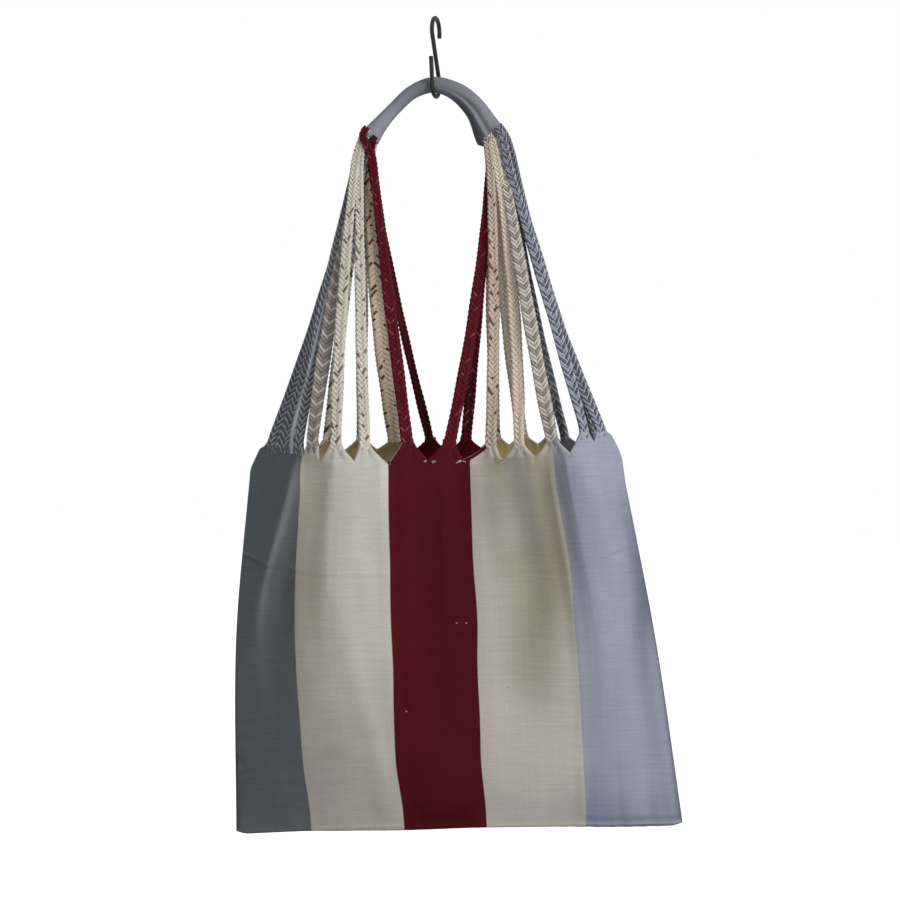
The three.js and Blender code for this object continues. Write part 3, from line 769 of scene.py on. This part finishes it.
# The bundle at each end of the sleeve: where its middle is, then how far apart its plaits stand
# across and in depth, first at the bottom of the bundle and then in the sleeve.
GATHERS = {
    "left": ((-67, 0, -131), 6.5, 4.6, 4.7, 4.3),
    "right": ((60.5, 0, -133), 6.6, 4.7, 5.0, 4.3),
}
# The sleeve's middle line, to the right and up, with how tall and how deep the sleeve is there.
SLEEVE_LINE = [
    (-61, -107), (-52.6, -96), (-38, -80), (-21, -65), (-1, -58.6), (19, -65), (35, -79), (48, -99),
    (54, -107.3),
]
SLEEVE_TALL = (19.5, 15, 12, 13, 14.5, 17, 20.5, 25, 26.5)
SLEEVE_DEEP = (22.5, 19, 15, 14, 14.5, 15.5, 16, 18, 19)
INTO_SLEEVE = 5
# The first points of each plait: how far below its foot they are, and how far out of the tab the
# second and the next ones stand.
BELOW_FOOT = (9.0, 6.3, 3.6, 1.0)
OUT_OF_TAB = (0.8, 1.3, 1.4)
FREE_STEPS = 61
BUNDLE_STEPS = 24

# Each braid, the first at the left: the end of the sleeve that it goes to, its column and row in the
# bundle there, how far it bows to the right, how far it is twisted, in quarter turns, its yarns, and
# what each strand is: a the first yarn, b the second, f the first with bits of the second among it.
FRONT_BRAIDS = [
    ("left", -1, 1, 6.5, 0.05, "grey and slate", "babababa"),
    ("left", -1, 0, 2.5, -0.1, "grey and slate", "abababab"),
    ("left", -1, -1, -3.5, 0.05, "grey and slate", "babababa"),
    ("left", 0, -1, -4.5, 0.1, "cream and brown", "abbabb"),
    ("left", -1.1, -2, -3, 0.1, "cream and dark", "afafa"),
    ("left", -0.5, -2, -1.5, -0.05, "cream and dark", "aafaf"),
    ("left", 1.4, -2.6, -0.3, 0.05, "dark red and rose", "afaaf"),
    ("right", -1.5, -0.5, 5.2, 0.1, "dark red and rose", "aafaa"),
    ("right", -1.5, -1.5, 3, -0.1, "cream and dark red", "afaaf"),
    ("right", -0.5, -1.5, 5, 0.05, "warm cream", "aaaaa"),
    ("right", 0.35, -1.5, -1, 0.1, "cream and brown", "aabaab"),
    ("right", 1, -2.3, 1, -0.1, "pale grey and slate", "aabaabab"),
    ("right", 1.9, -0.5, -7.5, 0.1, "pale grey and slate", "abababab"),
]
BACK_BRAIDS = [
    ("left", -1, 2, 6, 0.1, "grey and slate", "babababa"),
    ("left", 0, 0, 8, 0.1, "pale grey and slate", "aabaaaba"),
    ("left", 0, 2, -2, 0.3, "cream and dark", "fbafa"),
    ("left", 0, 1, -0.5, 0, "cream and dark", "afaaf"),
    ("left", 0.75, 0, -4.5, 0.1, "peach and dark red", "fafaf"),
    ("left", 1, -1.5, -3, 0.45, "dark red", "aaaaa"),
    ("right", -1.5, 0.5, 0.5, 0.3, "dark red", "aafaf"),
    ("right", -1.5, 1.5, -1, 0.1, "cream and dark red", "aafaf"),
    ("right", -0.5, 0.5, -5, -0.1, "warm cream", "aaaaa"),
    ("right", -0.5, 1.5, 4, 0.2, "cream and brown", "aabaab"),
    ("right", 1.2, 0.5, -5, 0, "grey and slate", "abbabbab"),
    ("right", 1.5, 1.5, -1, 0.1, "grey and slate", "abababab"),
    ("right", 1.5, 0.5, -8, 0.1, "grey and slate", "babababa"),
]
# The plaits that are narrower, or wider, than the rest.
WIDTHS = {
    ("front", 1): 0.8, ("front", 2): 0.76, ("front", 3): 0.8, ("front", 4): 1.2, ("front", 6): 0.94,
    ("front", 11): 1.12, ("front", 12): 0.9, ("front", 13): 0.86, ("back", 5): 1.35,
    ("back", 6): 0.8, ("back", 11): 0.85,
}
# The plaits whose ends lie over the front of the sleeve's end, how far, and how many places of the
# bundle they cross to the right (+) or left (-) on the way there.
LAPS = {("front", 7): (5, -2.8), ("back", 6): (3, 0), ("front", 12): (6, 0.4), ("front", 13): (6, 0)}


def sleeve_at(t):
    """Points of the sleeve's middle line, its direction, and its height and depth, t from 0 to 1."""
    t = np.atleast_1d(np.asarray(t, float))
    places = np.arange(len(SLEEVE_LINE)) / (len(SLEEVE_LINE) - 1)
    table = [(x, 0, z, tall, deep) for (x, z), tall, deep in zip(SLEEVE_LINE, SLEEVE_TALL, SLEEVE_DEEP)]
    here = through(places, table, t)
    ahead = through(places, table, np.clip(t + 0.004, 0, 1))
    behind = through(places, table, np.clip(t - 0.004, 0, 1))
    return here[:, :3], unit((ahead - behind)[:, :3]), here[:, 3], here[:, 4]


def eased(t, start, end):
    """0 before the start and 1 after the end, with a soft rise between them."""
    t = np.clip((t - start) / (end - start), 0, 1)
    return t * t * (3 - 2 * t)


def braid_line(folds, flat, rise, end, column, row, bow, turn, laps=0, crosses=0):
    """The braid's middle line in equal steps, with its width direction, face, width and thickness."""
    gather, wide_cell, deep_cell, wide_end, deep_end = GATHERS[end]
    on_front = folds is FRONT_FOLDS
    sides = cloth_points(folds, [flat - BRAID_HALF, flat + BRAID_HALF], 0, rise)
    edge = unit((sides[1] - sides[0]) * (1, 1, 0))
    outside = np.cross(edge, (0, 0, 1)) * (1 if on_front else -1)
    # The plait begins on the outside of the tab, where its strands come out of the cloth.
    low = cloth_points(folds, [flat] * len(BELOW_FOOT), 0, rise - np.array(BELOW_FOOT))
    low += outside * np.array([-0.9 if on_front else 1.0, *OUT_OF_TAB])[:, None]
    # Then it hangs free, bowed a little, up to its place at the bottom of the bundle.
    foot = low[-1]
    cell = np.array(gather) + (column * wide_cell, row * deep_cell, 0)
    t = np.linspace(0, 1, FREE_STEPS)[1:-1, None]
    free = foot + (cell - foot) * t
    free[:, 0] += bow * 4 * t[:, 0] * (1 - t[:, 0])
    faces = edge + ((1, 0, 0) - edge) * eased(t, 0, 0.22)
    # The bundle bends round into the sleeve, where the plait keeps its place among the others.
    face, direction, tall, deep = [v[0] for v in sleeve_at(0.0 if end == "left" else 1.0)]
    out = direction * (-1 if end == "left" else 1)
    start = np.array(gather, float)
    control = face + out * np.linalg.norm(start - face) * 0.16
    t = np.linspace(0, 1, BUNDLE_STEPS)[:, None]
    line = start * (1 - t) ** 2 + control * 2 * t * (1 - t) + face * t ** 2
    sideways = np.cross((0, 1, 0), unit((control - start) * (1 - t) + (face - control) * t))
    aside = (column + crosses * eased(t, 0, 1)) * (wide_cell + (wide_end - wide_cell) * t)
    bundled = line + sideways * aside
    bundled += np.array((0, 1, 0)) * row * (deep_cell + (deep_end - deep_cell) * t)
    if laps:
        bundled[:, 1] += (-(deep / 2 + 1.4) - bundled[:, 1]) * eased(t[:, 0], 0.1, 0.9)
    inside = bundled[-1] - out * np.linspace(0.2, 1, 5)[:, None] * (laps or INTO_SLEEVE)

    path = np.concatenate([low, free, bundled, inside])
    width_way = np.concatenate([
        np.repeat([edge], len(low), axis=0), faces, sideways,
        np.repeat(sideways[-1:], len(inside), axis=0),
    ])
    for again in range(10):
        for softened in (path, width_way):
            softened[1:-1] = softened[1:-1] * 0.5 + (softened[:-2] + softened[2:]) * 0.25
    run = np.concatenate([[0], np.cumsum(np.linalg.norm(np.diff(path, axis=0), axis=1))])
    steps = np.linspace(0, run[-1], int(run[-1] / STEP))
    path, width_way = (
        np.stack([np.interp(steps, run, values[:, k]) for k in range(3)], axis=1)
        for values in (path, width_way)
    )
    tangent = unit(np.gradient(path, axis=0))
    width_way = unit(width_way - tangent * (width_way * tangent).sum(axis=1, keepdims=True))
    facing = np.cross(width_way, tangent)
    facing *= np.sign(facing[:, 1:2]) * (-1 if on_front else 1)
    share = steps / run[-1]
    # Each braid is a little twisted on its way up, and lies over its neighbour in the bundle.
    angle = turn * math.pi / 2 * np.sin(np.pi * np.clip(share / 0.8, 0, 1))
    angle = (angle + 0.2 * eased(share, 0.55, 0.8))[:, None]
    turned = width_way * np.cos(angle) + facing * np.sin(angle)
    facing = facing * np.cos(angle) - width_way * np.sin(angle)
    wide = WIDE + (WIDE_PACKED - WIDE) * eased(share, 0.42, 0.85)
    wide += (WIDE_END - WIDE_PACKED) * eased(share, 0.86, 1)
    # At its foot the plait spreads out and sinks into the cloth's gathered warps.
    spread = 1 - eased(steps, 0, 13)
    wide = wide * (1 + 0.25 * spread + 0.04 * np.sin(steps / 11 + flat))
    thick = THICK + (THICK_END - THICK) * share
    thick *= 1 - 0.6 * spread + 0.06 * np.sin(steps / 7 + flat)
    return path, turned, facing, wide, thick, steps


def tube_faces(count, sides):
    """The faces between so many rings of points, ring after ring."""
    first = np.arange(count - 1)[:, None] * sides
    a = (first + np.arange(sides)).ravel()
    b = (first + (np.arange(sides) + 1) % sides).ravel()
    return np.stack([a, b, b + sides, a + sides], axis=1)


def tube(centres, first_way, second_way, half_first, half_second, sides):
    """Rings of points round a line, and the faces between them."""
    angle = np.arange(sides) / sides * 2 * np.pi
    ring = (
        centres[:, None, :]
        + first_way[:, None, :] * (half_first[:, None] * np.cos(angle))[:, :, None]
        + second_way[:, None, :] * (half_second[:, None] * np.sin(angle))[:, :, None]
    )
    return ring.reshape(-1, 3), tube_faces(len(centres), sides)


def joined(tubes):
    """The points and faces of many tubes as those of one mesh."""
    starts = np.cumsum([0] + [len(ring) for ring, faces in tubes])
    faces = [faces + start for (ring, faces), start in zip(tubes, starts)]
    return np.concatenate([ring for ring, faces in tubes]), np.concatenate(faces).tolist()


def strand_places(along, sides):
    """For each corner of a tube's faces, how far round it is, from 0 to 1, and how far along."""
    round_place = np.arange(sides + 1) / sides
    places = np.empty((len(along) - 1, sides, 4, 2))
    places[:, :, (0, 3), 0] = round_place[:-1, None]
    places[:, :, (1, 2), 0] = round_place[1:, None]
    places[:, :, (0, 1), 1] = along[:-1, None, None]
    places[:, :, (2, 3), 1] = along[1:, None, None]
    return places.reshape(-1, 2)


def mend(piece, hole_sides=None):
    """Closes a piece's holes of up to so many sides, and turns its faces outwards."""
    select_only(piece)
    bpy.ops.object.mode_set(mode="EDIT")
    bpy.ops.mesh.select_all(action="SELECT")
    if hole_sides:
        bpy.ops.mesh.fill_holes(sides=hole_sides)
    bpy.ops.mesh.normals_make_consistent(inside=False)
    bpy.ops.object.mode_set(mode="OBJECT")


# A cotton yarn: fine ridges along each strand, which wind round it by this many ridges a metre.
YARN_TWIST = 60.0
yarn, given, end = group_sockets(
    "Cotton yarn",
    [("Place on strand", "Vector", None), ("First yarn", "Color", (0.5, 0.5, 0.5, 1)),
     ("Second yarn", "Color", (0.2, 0.2, 0.2, 1)), ("Second", "Float", 0.0),
     ("Yarns round", "Float", 9.0), ("Unevenness", "Float", 0.2), ("Shade of sides", "Float", 0.6)],
    [("Colour", "Color"), ("Height", "Float")],
)
x, y = add_node(yarn, "SeparateXYZ", {0: given["Place on strand"]}).outputs[:2]
round_place = wire(yarn, "ADD", wire(yarn, "MULTIPLY", x, given["Yarns round"]),
                   wire(yarn, "MULTIPLY", y, YARN_TWIST))
ridge = thread_back(yarn, round_place)
fibre = noise(yarn, add_node(yarn, "TexCoord").outputs["Object"], 900, 3)
own_shade = around_zero(yarn, own_number(yarn, wire(yarn, "FLOOR", round_place)), given["Unevenness"])
# The grooves between the yarns are painted darker than their ridges, a painted shade, and each yarn has
# its own tone too.
shade = wire(yarn, "ADD", wire(yarn, "MULTIPLY_ADD", ridge, 0.3, 0.72), own_shade)
shade = wire(yarn, "ADD", shade, around_zero(yarn, fibre, 0.3))
# Each strand is painted darker down its two sides, a painted shade where it sinks between its
# neighbours.
side_on = wire(yarn, "ABSOLUTE", wire(yarn, "SINE", wire(yarn, "MULTIPLY", x, 2 * math.pi)))
painted_side_shade = wire(yarn, "MULTIPLY", wire(yarn, "SUBTRACT", side_on, 1.0), given["Shade of sides"])
shade = wire(yarn, "MULTIPLY", shade, wire(yarn, "ADD", painted_side_shade, 1.08))
both = blend_colours(yarn, given["Second"], given["First yarn"], given["Second yarn"])
set_inputs(yarn, end, {
    "Colour": shaded(yarn, both, shade),
    "Height": wire(yarn, "ADD", ridge, wire(yarn, "MULTIPLY", fibre, 0.5)),
})


def yarn_material(name, first, second, side_shade):
    """The material of a plait in one or two colours of yarn."""
    material, tree, shader = material_called(name, first, 0.92)
    spun = add_node(tree, "Group", {
        "First yarn": first, "Second yarn": second, "Shade of sides": side_shade,
        "Place on strand": add_node(tree, "UVMap", uv_map="strand").outputs[0],
        "Second": add_node(tree, "Attribute", attribute_name="second_yarn").outputs["Fac"],
    }, node_tree=yarn).outputs
    set_inputs(tree, shader, {
        "Base Color": spun["Colour"], "Specular IOR Level": 0.15, "Sheen Weight": 0.02,
        "Sheen Roughness": 0.5,
    })
    add_relief(tree, shader, spun["Height"], 0.6, 0.0004)
    return material


# The yarns of each plait: its first and its second colour, how dark the painted shade down its strands'
# sides is, and the slot that it belongs to.
YARNS = {
    name: (yarn_material(name + " yarn", paint(*first), paint(*second), side_shade), slot)
    for name, first, second, side_shade, slot in (
        ("grey and slate", (200, 204, 210), (118, 122, 130), 0.6, "grey_yarn"),
        ("pale grey and slate", (196, 198, 214), (116, 120, 136), 0.6, "grey_yarn"),
        ("cream and brown", (224, 217, 206), (174, 162, 156), 0.45, "cream_yarn"),
        ("cream and dark", (232, 225, 210), (112, 88, 78), 0.3, "cream_yarn"),
        ("cream and dark red", (216, 195, 176), (92, 40, 40), 0.36, "cream_yarn"),
        ("peach and dark red", (255, 232, 206), (112, 44, 44), 0.3, "cream_yarn"),
        ("warm cream", (242, 226, 206), (180, 156, 130), 0.22, "cream_yarn"),
        ("dark red and rose", (104, 24, 36), (146, 66, 80), 0.6, "maroon_yarn"),
        ("dark red", (84, 22, 31), (138, 68, 76), 0.6, "maroon_yarn"),
        ("smooth pale grey", (196, 200, 210), (170, 174, 184), 0.3, "grey_yarn"),
    )
}
# How much of the second yarn is in the two cords along the edge of the cloth.
EDGE_SHARE = {"grey and slate": 0.55, "pale grey and slate": 0.25, "cream and brown": 0.1}
# In a strand with bits of the second yarn, how often they come, and how much of it shows there.
FLECK_CHANCE = 0.3
FLECK_SHARE = 0.95
STRAND_SIDES = 6
EDGE_CORD_STEPS = 12


def make_braid(side, number, end, column, row, bow, turn, yarns, strands):
    """Plaits one braid of its strands, with its two cords up the edge of the cloth."""
    folds, feet, edge, creases = PANELS[side]
    flat, rise = feet[number - 1][:2]
    path, width_way, facing, wide, thick, steps = braid_line(
        folds, flat, rise, end, column, row, bow, turn, *LAPS.get((side, number), (0, 0)),
    )
    tubes, second, places = [], [], []
    chance = np.random.default_rng(number + (100 if side == "back" else 0))
    lay = PLAIT_LENGTH * (0.55 + 0.45 * wide / WIDE)
    lay = 2 * np.pi * np.cumsum(np.full(len(steps), steps[1]) / lay)
    lay += number * 1.7 + 0.3 * np.sin(steps / 19 + number)
    wide = wide * WIDTHS.get((side, number), 1.0)
    half_strand = (0.36 if len(strands) < 6 else 0.33) * PLAIT_LENGTH / len(strands) * wide / WIDE
    half_thick = 0.27 * thick
    for s, kind in enumerate(strands):
        phase = lay + 2 * np.pi * s / len(strands)
        centres = (
            path
            + width_way * ((wide / 2 - half_strand) * np.sin(phase))[:, None]
            + facing * ((thick / 2 - half_thick) * np.sin(2 * phase))[:, None]
        )
        tangent = unit(np.gradient(centres, axis=0))
        flatwise = unit(np.cross(tangent, facing))
        upright = np.cross(flatwise, tangent)
        tubes.append(tube(centres, flatwise, upright, half_strand, half_thick, STRAND_SIDES))
        mark = np.full((len(centres) - 1, STRAND_SIDES), 1.0 if kind == "b" else 0.0)
        if kind == "f":
            bits = np.repeat(chance.random(len(centres) // 2 + 1) < FLECK_CHANCE, 2)[:len(mark)]
            mark[:, (1, 4)] = FLECK_SHARE * bits[:, None]
        second.append(mark.ravel())
        places.append(strand_places(steps * MM, STRAND_SIDES))
    # The outermost warps run up the edge of the scallop, as two thick cords, and into the plait.
    share = np.linspace(0, 1, EDGE_CORD_STEPS)
    for way, at_seam in ((-1, number == 1), (1, number == len(feet))):
        valley_place, valley_height = edge[number - 1 if way < 0 else number]
        gap = abs(valley_place - flat) - BRAID_HALF
        reach = drawn_in(share, gap, at_seam) * np.where(share > 0.85, 0.8, 0.97)
        climbs = valley_height * (1 - share) + rise * share + 4.0 * (share > 0.99)
        line = cloth_points(folds, flat + way * reach, 0, climbs)
        tangent = unit(np.gradient(line, axis=0))
        sideways = unit(np.cross(tangent, np.repeat(facing[:1], len(line), axis=0)))
        outwards = np.cross(sideways, tangent)
        thickness = (0.8 + 0.5 * share) * (0.75 if at_seam else 1)
        tubes.append(tube(line, sideways, outwards, thickness, thickness, STRAND_SIDES))
        second.append(np.full(STRAND_SIDES * (len(line) - 1), EDGE_SHARE.get(yarns, 0.0)))
        places.append(strand_places(np.arange(len(line)) * 2.5 * MM, STRAND_SIDES))
    piece = mesh_piece(f"plait_{side}_{number}", *joined(tubes))
    piece.data.uv_layers.new(name="strand").data.foreach_set("uv", np.concatenate(places).ravel())
    marks = piece.data.attributes.new("second_yarn", "FLOAT", "FACE")
    marks.data.foreach_set("value", np.concatenate(second))
    mend(piece, STRAND_SIDES + 1)
    material, slot = YARNS[yarns]
    piece.data.materials.append(material)
    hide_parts(f"braid_{side}_{number}")
    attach(piece, "root")


for side, braids in (("front", FRONT_BRAIDS), ("back", BACK_BRAIDS)):
    for number, how in enumerate(braids, 1):
        make_braid(side, number, *how)


# ---- Smooth warps ----
# Between the second and third grey plaits a few of the cloth's grey warps go up unplaited, as one
# smooth flat cord. It stands a little forward of the plaits, and ends among them in the bundle.
CORD_SIDES = 10
path, width_way, facing, wide, thick, steps = braid_line(
    FRONT_FOLDS, flat=74.5, rise=25, end="left", column=-0.8, row=-0.8, bow=0.5, turn=0,
)
free = int(0.6 * len(path))
along = steps[:free] / steps[free]
forward = facing[:free] * (6.4 * np.sin(np.pi * (0.1 + 0.78 * along)))[:, None]
half_wide, half_thick = 2.1 - 0.7 * along, 1.2 - 0.3 * along
ring, faces = tube(
    path[:free] + forward, width_way[:free], facing[:free], half_wide, half_thick, CORD_SIDES,
)
loose = mesh_piece("smooth_warps", ring, faces.tolist())
mend(loose, CORD_SIDES + 1)
loose.data.uv_layers.new(name="strand").data.foreach_set("uv", [
    place for corner in loose.data.loops for place in (
        (corner.vertex_index % CORD_SIDES) / CORD_SIDES * 0.5,
        corner.vertex_index // CORD_SIDES * STEP * MM,
    )
])
loose.data.materials.append(YARNS["smooth pale grey"][0])
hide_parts("braid_front_2")
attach(loose, "root")


# ---- Cut weft ends ----
# Short ends of the cotton weft stand out where it was cut at the valleys of the cloth's edge, pale
# against the stripes. A few slubs of pale lint are caught in the weave further down.
CUT_ENDS = ((221, 4), (253, 4), (183, 1), (376, 8), (410, 4), (92, 2), (296, 2))
SLUBS = ((243, 0.42), (252, 0.42), (192, 0.67), (288, 0.6))
BIT_STEPS = 6
BIT_SIDES = 6
chance = np.random.default_rng(7)
bits = []
for flat, count in CUT_ENDS:
    for k in range(count):
        height = dict(front_valleys)[flat] - chance.uniform(0, 2)
        root = cloth_points(FRONT_FOLDS, [flat + chance.uniform(-4, 4)], 0, height)[0]
        lean = np.array((chance.uniform(-1, 1), -0.25, chance.uniform(-0.2, 0.5)))
        t = np.linspace(0, 1, BIT_STEPS)[:, None]
        line = root + (0, -1.6, 0) + lean * chance.uniform(2.5, 5) * t
        line = line + np.array((0, 0, -1.5)) * t * t
        tangent = unit(np.gradient(line, axis=0))
        across = unit(np.cross(tangent, (0, 1, 0)))
        thin = np.full(BIT_STEPS, 0.34)
        bits.append(tube(line, across, np.cross(across, tangent), thin, thin, BIT_SIDES))
for flat, level in SLUBS:
    root = cloth_points(FRONT_FOLDS, [flat], level)[0] + (0, -0.9, 0)
    line = root + np.outer(np.linspace(-1, 1, BIT_STEPS), (0.9, 0, 0.1))
    swell = 0.1 + 0.55 * np.sin(np.linspace(0, math.pi, BIT_STEPS))
    deep, tall = np.tile((0.0, 1, 0), (BIT_STEPS, 1)), np.tile((0.0, 0, 1), (BIT_STEPS, 1))
    bits.append(tube(line, deep, tall, swell, swell * 0.7, BIT_SIDES))
weft_ends = mesh_piece("cut_weft_ends", *joined(bits))
mend(weft_ends, BIT_SIDES + 1)
pale_thread, tree, shader = material_called("cut weft thread", paint(196, 194, 192), 0.9)
weft_ends.data.materials.append(pale_thread)
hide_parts("bag_body")
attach(weft_ends, "root")


# ---- Handle sleeve ----
# A strip of slate-grey cotton wound round the ends of the braids. At the right its edge lies open
# along the front, with the thick bundle above it and a slack fold of the strip below.
SLEEVE_STEPS = 110
SLEEVE_SIDES = 56
SLEEVE_WALL = 1.1
STRIP_SIZE = (0.050, 0.156)


def round_from(angle):
    """The same angle, between half a turn back and half a turn on."""
    return np.angle(np.exp(1j * angle))


def dip(away, width):
    """1 in the middle of a groove or a ridge, and fading to 0 at its sides."""
    return np.exp(-(away / width) ** 2)


t = np.linspace(0, 1, SLEEVE_STEPS + 1)
middle, direction, tall, deep = sleeve_at(t)
outward = np.cross(direction, (0, 1, 0))
# 0 is the back, a quarter turn is the outside of the arch, and half a turn is the front.
angle = np.arange(SLEEVE_SIDES) / SLEEVE_SIDES * 2 * np.pi
along, tall, deep = t[:, None], tall[:, None], deep[:, None]
slack = eased(along, 0.5, 0.8)
seam = np.pi * (1.0 + 0.06 + 0.10 * (1 - slack))
from_seam = round_from(angle - seam)
groove = slack * 0.34 * dip(np.minimum(from_seam, 0), 0.30) * dip(np.maximum(from_seam, 0), 0.12)
slim = slack * 0.22 * dip(round_from(angle - seam - 0.9), 0.7)
back_groove = slack * 0.16 * dip(round_from(angle + 0.25), 0.4)
edge_step = 1.2 * slack * (from_seam > 0.0) * np.exp(-np.maximum(from_seam, 0) / 1.1)
hanging = 3.2 * (eased(along, 0.78, 0.93) - 0.8 * eased(along, 0.94, 1.0))
hanging = hanging * dip(angle - 1.5 * np.pi, 0.75)
wound = 1 - groove - slim - back_groove
wrinkle = 0.35 * np.sin(3 * angle + 9 * along) * np.sin(23 * along + angle)
half_deep = deep / 2 * wound + edge_step + wrinkle
half_tall = tall / 2 * (wound * 0.3 + 0.7) + edge_step * 0.5 + wrinkle * 0.6 + hanging
rings = (
    middle[:, None, :]
    + (half_deep * np.cos(angle))[:, :, None] * (0, 1, 0)
    + (half_tall * np.sin(angle))[:, :, None] * outward[:, None, :]
)
sleeve = mesh_piece("wound_sleeve", rings.reshape(-1, 3), tube_faces(len(t), SLEEVE_SIDES).tolist())
places = strand_places(t, SLEEVE_SIDES)
sleeve.data.uv_layers.new(name="flat cloth").data.foreach_set("uv", (places * STRIP_SIZE).ravel())
# The strip is paler down the left and a little at the right, with painted shade in the hollow of the
# slack fold and a painted highlight along its open edge.
round_place, along = places.T
past_seam = round_from(round_place * 2 * np.pi - np.pi * 1.08)
strip_light_and_tone = 0.84 + 0.50 * (1 - eased(along, 0.12, 0.46)) + 0.22 * eased(along, 0.55, 0.8)
strip_light_and_tone *= 1 - 0.66 * eased(along, 0.5, 0.75) * dip(past_seam - 0.75, 0.65)
strip_light_and_tone *= 1 + 0.45 * eased(along, 0.55, 0.75) * dip(past_seam - 0.12, 0.09)
strip_light_and_tone = np.stack([strip_light_and_tone, strip_light_and_tone, strip_light_and_tone, np.ones(len(strip_light_and_tone))], axis=1)
light_and_tone_layer = sleeve.data.color_attributes.new("light_and_tone", "FLOAT_COLOR", "CORNER")
light_and_tone_layer.data.foreach_set("color", strip_light_and_tone.ravel())
mend(sleeve)
thicken(sleeve, SLEEVE_WALL, -1)
SLATE = paint(130, 132, 141)
slate, tree, shader = material_called("slate cotton", SLATE, 0.88)
flat_place, woven = weave_on(tree, 0.06)
finish_cloth(tree, shader, woven, SLATE, woven["Shade"], 0.4, 0.25)
set_inputs(tree, shader, {"Sheen Weight": 0.1})
sleeve.data.materials.append(slate)
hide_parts("handle_sleeve")
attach(sleeve, "root")


# ---- Hook ----
# An S of 4 mm round steel wire with a black satin coat. The wire is drawn from its tip in front of
# the handle, round the lower bend, up the slanting shank and over the upper bend.
WIRE = 4
INNER = 9.5
DROP = 67.4
TIP_RISE = 23
TIP_FLARE = 3
WIRE_SIDES = 16
BEND_STEPS = 26
hook_turn = math.radians(17)
radius = INNER + WIRE / 2
lower = INNER - DROP
upper = -INNER
slant = math.asin(2 * radius / (upper - lower))
in_plane = Matrix.Rotation(math.radians(90) - hook_turn, 4, "Z")


def draw_on(x, z):
    """Draws the wire on in a straight line."""
    bpy.ops.mesh.extrude_edges_move(TRANSFORM_OT_translate={"value": (x * MM, 0, z * MM)})


def bend_round(angle, height):
    """Draws the wire on round a bend whose middle is at a height."""
    bpy.ops.mesh.spin(steps=BEND_STEPS, angle=angle, center=(0, 0, height * MM), axis=(0, 1, 0))


for other in bpy.context.selected_objects:
    other.select_set(False)
bpy.ops.mesh.primitive_circle_add(
    vertices=WIRE_SIDES, radius=WIRE / 2 * MM, fill_type="NOTHING", location=(0, 0, 0),
)
hook_wire = bpy.context.object
hook_wire.name = "wire_hook"
bpy.ops.object.mode_set(mode="EDIT")
bpy.ops.mesh.select_all(action="SELECT")
bpy.ops.transform.translate(value=((-radius - TIP_FLARE) * MM, 0, (lower + TIP_RISE) * MM))
draw_on(TIP_FLARE * 0.75, -TIP_RISE / 2)
draw_on(TIP_FLARE * 0.25, -TIP_RISE / 2)
bend_round(math.pi + slant, lower)
draw_on(-2 * radius * math.cos(slant), upper - lower - 2 * radius * math.sin(slant))
bend_round(-(math.pi + slant), upper)
draw_on(0, -INNER / 2)
bpy.ops.mesh.select_all(action="SELECT")
bpy.ops.mesh.remove_doubles(threshold=0.00002)
bpy.ops.object.mode_set(mode="OBJECT")
mend(hook_wire, WIRE_SIDES + 1)
hook_wire.data.transform(in_plane)
hook_wire.data.polygons.foreach_set("use_smooth", [True] * len(hook_wire.data.polygons))
black, tree, shader = material_called("black satin wire", paint(34, 34, 36), 0.42)
scuffs = noise(tree, add_node(tree, "TexCoord").outputs["Object"], 180, 4)
scuffed = wire(tree, "MULTIPLY", scuffs, 0.25)
set_inputs(tree, shader, {
    "Base Color": blend_colours(tree, scuffed, paint(28, 28, 30), paint(62, 62, 64)),
    "Roughness": wire(tree, "MULTIPLY_ADD", scuffs, 0.3, 0.38),
    "Metallic": 0.0, "Specular IOR Level": 0.25,
})
add_relief(tree, shader, scuffs, 0.15, 0.0002)
hook_wire.data.materials.append(black)
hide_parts("hook")
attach(hook_wire, "root")
